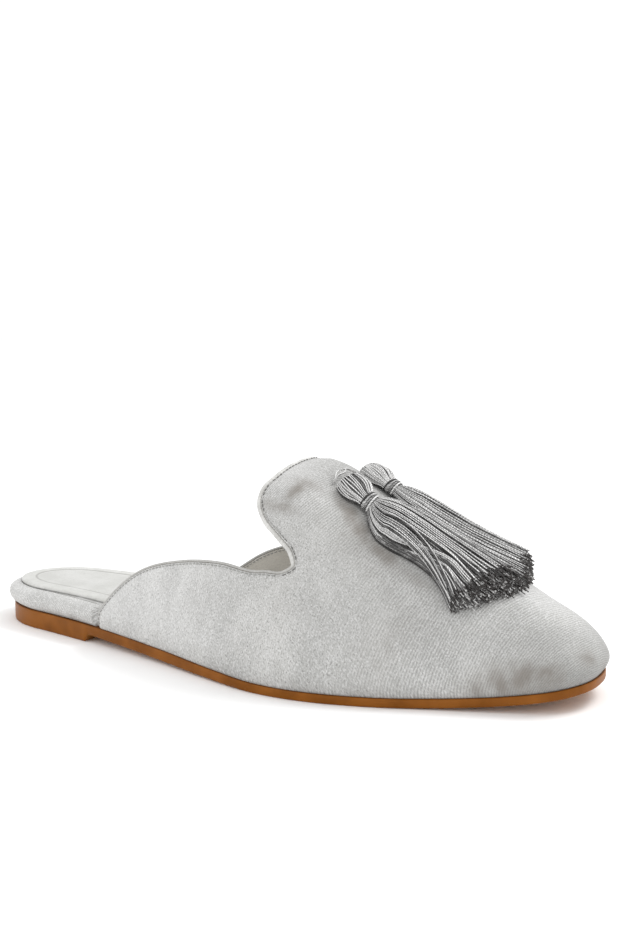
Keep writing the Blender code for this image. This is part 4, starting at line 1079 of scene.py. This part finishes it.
for which, line in TASSEL_LINES.items():
    chance = np.random.default_rng(SEED[which])
    outer_sign = np.sign(line["side"][-1])
    ends = over_vamp(line["station"][[0, -1]] * LENGTH, line["side"][[0, -1]] * WIDTH, np.zeros(2))
    span = np.linalg.norm(ends[1] - ends[0]) / line["along"][-1]
    paths, sizes, tip_scale, shade = [], [], [], []
    # the skirt's outer layers run all the way from the neck to the cut, in locks that stand up a little
    angle = np.linspace(0.03, np.pi - 0.03, SKIRT_THREADS)
    order = np.arange(SKIRT_THREADS)
    locks = np.cumsum(chance.integers(0, 3, SKIRT_THREADS) == 0)
    pitch = np.pi / SKIRT_THREADS
    for layer, (depth_share, reach, lightness) in enumerate(SKIRT_LAYERS):
        # where each thread starts and ends round the section, how its lock leans and how far it stands up
        begin = angle + chance.normal(0, 0.42, SKIRT_THREADS) * pitch
        finish = begin + chance.normal(0, 0.5, SKIRT_THREADS) * pitch
        lean = chance.normal(0, 1.0, locks[-1] + 1)[locks] * pitch
        raise_by = (chance.normal(0, 0.16, SKIRT_THREADS) + chance.normal(0, 0.28, locks[-1] + 1)[locks]) * MM
        tones = shades(chance, SKIRT_THREADS)
        raise_by += np.where(tones > 0.5, 0.10, -0.18) * MM
        shade.extend(tones * lightness)
        over = np.zeros(SKIRT_THREADS)
        edge_first = order if outer_sign < 0 else SKIRT_THREADS - 1 - order
        if layer == 0:
            crossing = CROSSING[which]
            outermost = edge_first < crossing
            next_in = (edge_first >= crossing) & (edge_first < 2 * crossing)
            shift = crossing * pitch * -outer_sign
            finish = np.where(outermost, finish + shift, np.where(next_in, finish - shift, finish))
            over = np.where(outermost, -0.35, np.where(next_in, 0.45, 0.0)) * MM
        for place in range(SKIRT_THREADS):
            along = np.linspace(NECK, 1.0 + reach + chance.normal(0, 0.012), SKIRT_POINTS)
            t = np.clip((along - NECK) / (1 - NECK), 0, 1)
            cross = soft_step((t - 0.28) / 0.52)
            turn = begin[place] * (1 - cross) + finish[place] * cross + lean[place] * np.sin(np.pi * t)
            turn += 0.035 * np.sin(5.0 * t + chance.uniform(0, 6.28)) * t
            turn = np.clip(turn, 0.01, np.pi - 0.01)
            lift = (raise_by[place] + over[place] * np.sin(np.pi * t) ** 0.7) * np.clip(4 * t, 0, 1)
            lift += 0.3 * MM * chance.normal() * np.clip(t - 0.85, 0, 1) / 0.15
            paths.append((along, -np.cos(turn), depth_share, lift - THREAD * (1 - layer * 0.1)))
            crowd = np.clip((along - 0.19) / 0.14, 0, 1)
            sizes.append(THREAD * (0.52 + 0.48 * crowd) * chance.uniform(0.80, 1.1))
            outer_side = -np.cos(finish[place]) * outer_sign > -0.35
            tip_scale.append(UNSHADED_TIP if outer_side and layer == 0 else 1.0)
    # threads inside the skirt show only at the cut
    for row in np.arange(0.04, 0.80, 0.065):
        for place in range(CUT_THREADS):
            across = np.clip(-0.95 + 1.9 * (place + chance.uniform(0.1, 0.9)) / CUT_THREADS, -0.96, 0.96)
            along = np.linspace(0.84, 1.004 + chance.normal(0, 0.010), CUT_POINTS)
            drift = chance.normal(0, 0.03) * np.linspace(0, 1, CUT_POINTS)
            paths.append((along, np.clip(across + drift, -0.97, 0.97), row + chance.uniform(-0.04, 0.04), 0.0))
            shade.append(chance.uniform())
            sizes.append(np.full(CUT_POINTS, THREAD * chance.uniform(0.8, 1.05)))
            tip_scale.append(UNSHADED_TIP if across * outer_sign > 0.55 else chance.choice(INNER_TIPS))
    routes = spread(which, paths)
    points, faces, marks = tubes(routes, sizes, SKIRT_SIDES)
    marks["tip"] = marks["tip"] * per_thread(tip_scale, routes, SKIRT_SIDES)
    marks["strand"] = per_thread(shade, routes, SKIRT_SIDES)
    skirt = solid("tassel_skirt_" + which, points, faces, [thread_finish], marks=marks, sharp=None)
    # the head's threads run back from the neck and fold down over its free end
    paths, sizes, shade = [], [], []
    for layer, (depth_share, lightness) in enumerate(HEAD_LAYERS):
        tones = shades(chance, HEAD_THREADS)
        shade.extend(tones * lightness)
        for place in range(HEAD_THREADS):
            turn = np.pi * (place + 0.5 * (layer + 1)) / (HEAD_THREADS + 0.5) + chance.normal(0, 0.02)
            t = np.linspace(0, 1, HEAD_POINTS)
            back = np.clip(t / 0.78, 0, 1)
            fold = np.clip((t - 0.72) / 0.28, 0, 1)
            along = NECK - (NECK - 0.010 - 0.020 * layer) * back + 0.018 * fold**2
            wave = 0.05 * np.sin(4.0 * t + chance.uniform(0, 6.28)) * np.sin(np.pi * t)
            level = depth_share * np.cos(fold * np.pi / 2) ** 0.6
            lift = (chance.normal(0, 0.10) + np.where(tones[place] > 0.5, 0.07, -0.12)) * MM * np.sin(np.pi * t)
            across = -np.cos(np.clip(turn + wave, 0.02, np.pi - 0.02)) * (1 - 0.12 * fold)
            paths.append((along, across, level, lift - THREAD * 0.6))
            sizes.append(THREAD * (0.62 + 0.43 * np.sin(np.pi * np.clip(t * 1.1, 0, 1)) ** 0.6))
    routes = spread(which, paths)
    points, faces, marks = tubes(routes, sizes, HEAD_SIDES)
    marks["tip"] = np.full(len(points), FAR_FROM_TIP)
    marks["strand"] = 1 - (1 - per_thread(shade, routes, HEAD_SIDES)) * HEAD_PAINTED_LIGHT[which]
    head = solid("tassel_head_" + which, points, faces, [thread_finish], marks=marks, sharp=None)
    # painted shade: a dark sheet inside the tassel, just under its threads
    rings = []
    places = np.concatenate([np.linspace(0.02, 0.16, 9), np.linspace(0.18, 0.975, 40)])
    turn = np.linspace(0, np.pi, CORE_TOP)
    for along in places:
        top = on_tassel(which, np.full(CORE_TOP, along), -np.cos(turn) * CORE_WIDE, CORE_DEEP)
        under = on_tassel(which, np.full(CORE_UNDER, along), np.linspace(0.72, -0.72, CORE_UNDER), 0.03)
        rings.append(np.concatenate([top, under]))
    size = len(rings[0])
    points = np.concatenate(rings + [[rings[0].mean(0)], [rings[-1].mean(0)]])
    end = len(rings) * size
    faces = [[base + j, base + (j + 1) % size, base + size + (j + 1) % size, base + size + j]
             for base in range(0, end - size, size) for j in range(size)]
    faces += fan(0, size, end) + fan(end - size, size, end + 1)
    inside = solid("tassel_inner_shade_" + which, points, faces, [inner_shade_material])
    # a few turns of the same thread bind the neck
    routes = []
    for turn_index in range(NECK_TURNS):
        t = np.linspace(0, np.pi, 17)
        along = NECK + (turn_index - (NECK_TURNS - 1) / 2) * TURN_PITCH / span
        top = on_tassel(which, along, -np.cos(t), 1.0, 0.42 * MM * np.sin(t) + 0.05 * MM)
        under = on_tassel(which, along, np.linspace(0.9, -0.9, 5), 0.0, -0.30 * MM)
        routes.append(np.concatenate([top, under]))
    points, faces, marks = tubes(routes, TURN_THREAD, 6, closed=True)
    marks["tip"] = np.full(len(points), FAR_FROM_TIP)
    wrap = solid("neck_turns_" + which, points, faces, [thread_finish], marks=marks, sharp=None)
    for piece in (skirt, head, inside, wrap):
        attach(piece, "root")
    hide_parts("tassel_" + which)
    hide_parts("tassel_wrap_" + which)


# Tie: a few strands of pale twisted thread that hold both tassels to the vamp. They come out between the
# heads, arch over the back of the near one in loose loops and go down again beside it.
TIE = 1.0 * MM
TIE_THREAD = 0.23 * MM
TIE_POINTS = 44
# Strands: how far each bows back, waves and stands up
TIE_STRANDS = ((0.9, 0.35, 0.0), (0.2, -0.5, 0.4), (-0.5, 0.6, -0.1), (-1.2, -0.4, -0.3))
TIE_ROUTE = table(
    "station side height",
    (0.645, 0.047, -0.4), (0.636, 0.030, 0.8), (0.630, 0.000, 1.8), (0.627, -0.035, 2.2),
    (0.627, -0.070, 2.0), (0.628, -0.105, 1.2), (0.629, -0.135, -0.4))
key = np.arange(len(TIE_ROUTE["station"]), dtype=float)
routes = []
share = np.linspace(0, key[-1], TIE_POINTS)
bow = np.sin(np.linspace(0, np.pi, TIE_POINTS))
for strand, (back, wave, high) in enumerate(TIE_STRANDS):
    x = curve(key, TIE_ROUTE["station"] * LENGTH)(share)
    x = x + (back * bow + wave * np.sin(share * 2.6 + strand) * bow) * MM
    y = curve(key, TIE_ROUTE["side"] * WIDTH)(share) + wave * 0.5 * np.sin(share * 3.1) * MM
    height = DRAPE_GAP + (0.5 + curve(key, TIE_ROUTE["height"])(share) + high * bow) * TIE
    routes.append(over_vamp(x, y, np.maximum(height, 0.35 * MM)))
points, faces, marks = tubes(routes, TIE_THREAD, 6)
pale_silk = silk("pale_thread", (0.46, 0.455, 0.445), (0.90, 0.895, 0.885), 0.0)
tie = solid("tie_strands", points, faces, [pale_silk], marks=marks, sharp=None)
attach(tie, "root")
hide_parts("tassel_tie")


# Studio: a wide white floor under an even white sky, a large soft light high beyond the toe on the inner side
# and a weaker one from the front left. The camera stands where the photograph was taken from.
FLOOR = 6
SKY = 1.03
# name, place, side in metres, power in watts
LAMPS = (("overhead", (0.55, 0.55, 0.95), 0.55, 7.0), ("front_left", (-0.6, -1.0, 0.6), 0.8, 2.0))
LAMPS_AIM = (0, 0, 0.03)
# place with the back of the heel at X = 0, direction from the shoe to the camera, focal length in millimetres
CAMERA_PLACE = (0.35785, -0.37098, 0.12816)
CAMERA_BACK = (0.49087, -0.86213, 0.12558)
FOCAL_LENGTH = 44.3
floor_mesh = bpy.data.meshes.new("floor")
floor_corners = [(-FLOOR, -FLOOR, 0), (FLOOR, -FLOOR, 0), (FLOOR, FLOOR, 0), (-FLOOR, FLOOR, 0)]
floor_mesh.from_pydata(floor_corners, [], [(0, 1, 2, 3)])
floor = bpy.data.objects.new("floor", floor_mesh)
bpy.context.scene.collection.objects.link(floor)
paper = Finish("white_sweep", {"Specular IOR Level": 0.0})
tooth = paper.noise(paper.place(), 30.0, 2.0)
floor_mesh.materials.append(paper.feed(
    Base_Color=paper.mix(tooth, (0.98, 0.98, 0.98), (0.99, 0.99, 0.99)), Roughness=tooth * 0.1 + 0.5))

world = bpy.data.worlds.new("studio")
bpy.context.scene.world = world
world.use_nodes = True
sky = world.node_tree.nodes["Background"].inputs
sky["Color"].default_value = (1.0, 1.0, 1.0, 1)
sky["Strength"].default_value = SKY
for name, place, size, power in LAMPS:
    lamp = bpy.data.lights.new(name, "AREA")
    lamp.size, lamp.energy = size, power
    light = bpy.data.objects.new(name, lamp)
    light.location = place
    light.rotation_euler = (Vector(LAMPS_AIM) - Vector(place)).to_track_quat("-Z", "Y").to_euler()
    bpy.context.scene.collection.objects.link(light)

lens = bpy.data.cameras.new("camera")
lens.lens, lens.sensor_width = FOCAL_LENGTH, 36.0
lens.clip_start = 0.01
camera = bpy.data.objects.new("camera", lens)
camera.location = Vector(CAMERA_PLACE) + Vector(SHIFT)
camera.rotation_mode = "QUATERNION"
camera.rotation_quaternion = Vector(CAMERA_BACK).to_track_quat("Z", "Y")
bpy.context.scene.collection.objects.link(camera)
bpy.context.scene.camera = camera
bpy.context.scene.view_settings.view_transform = "Standard"
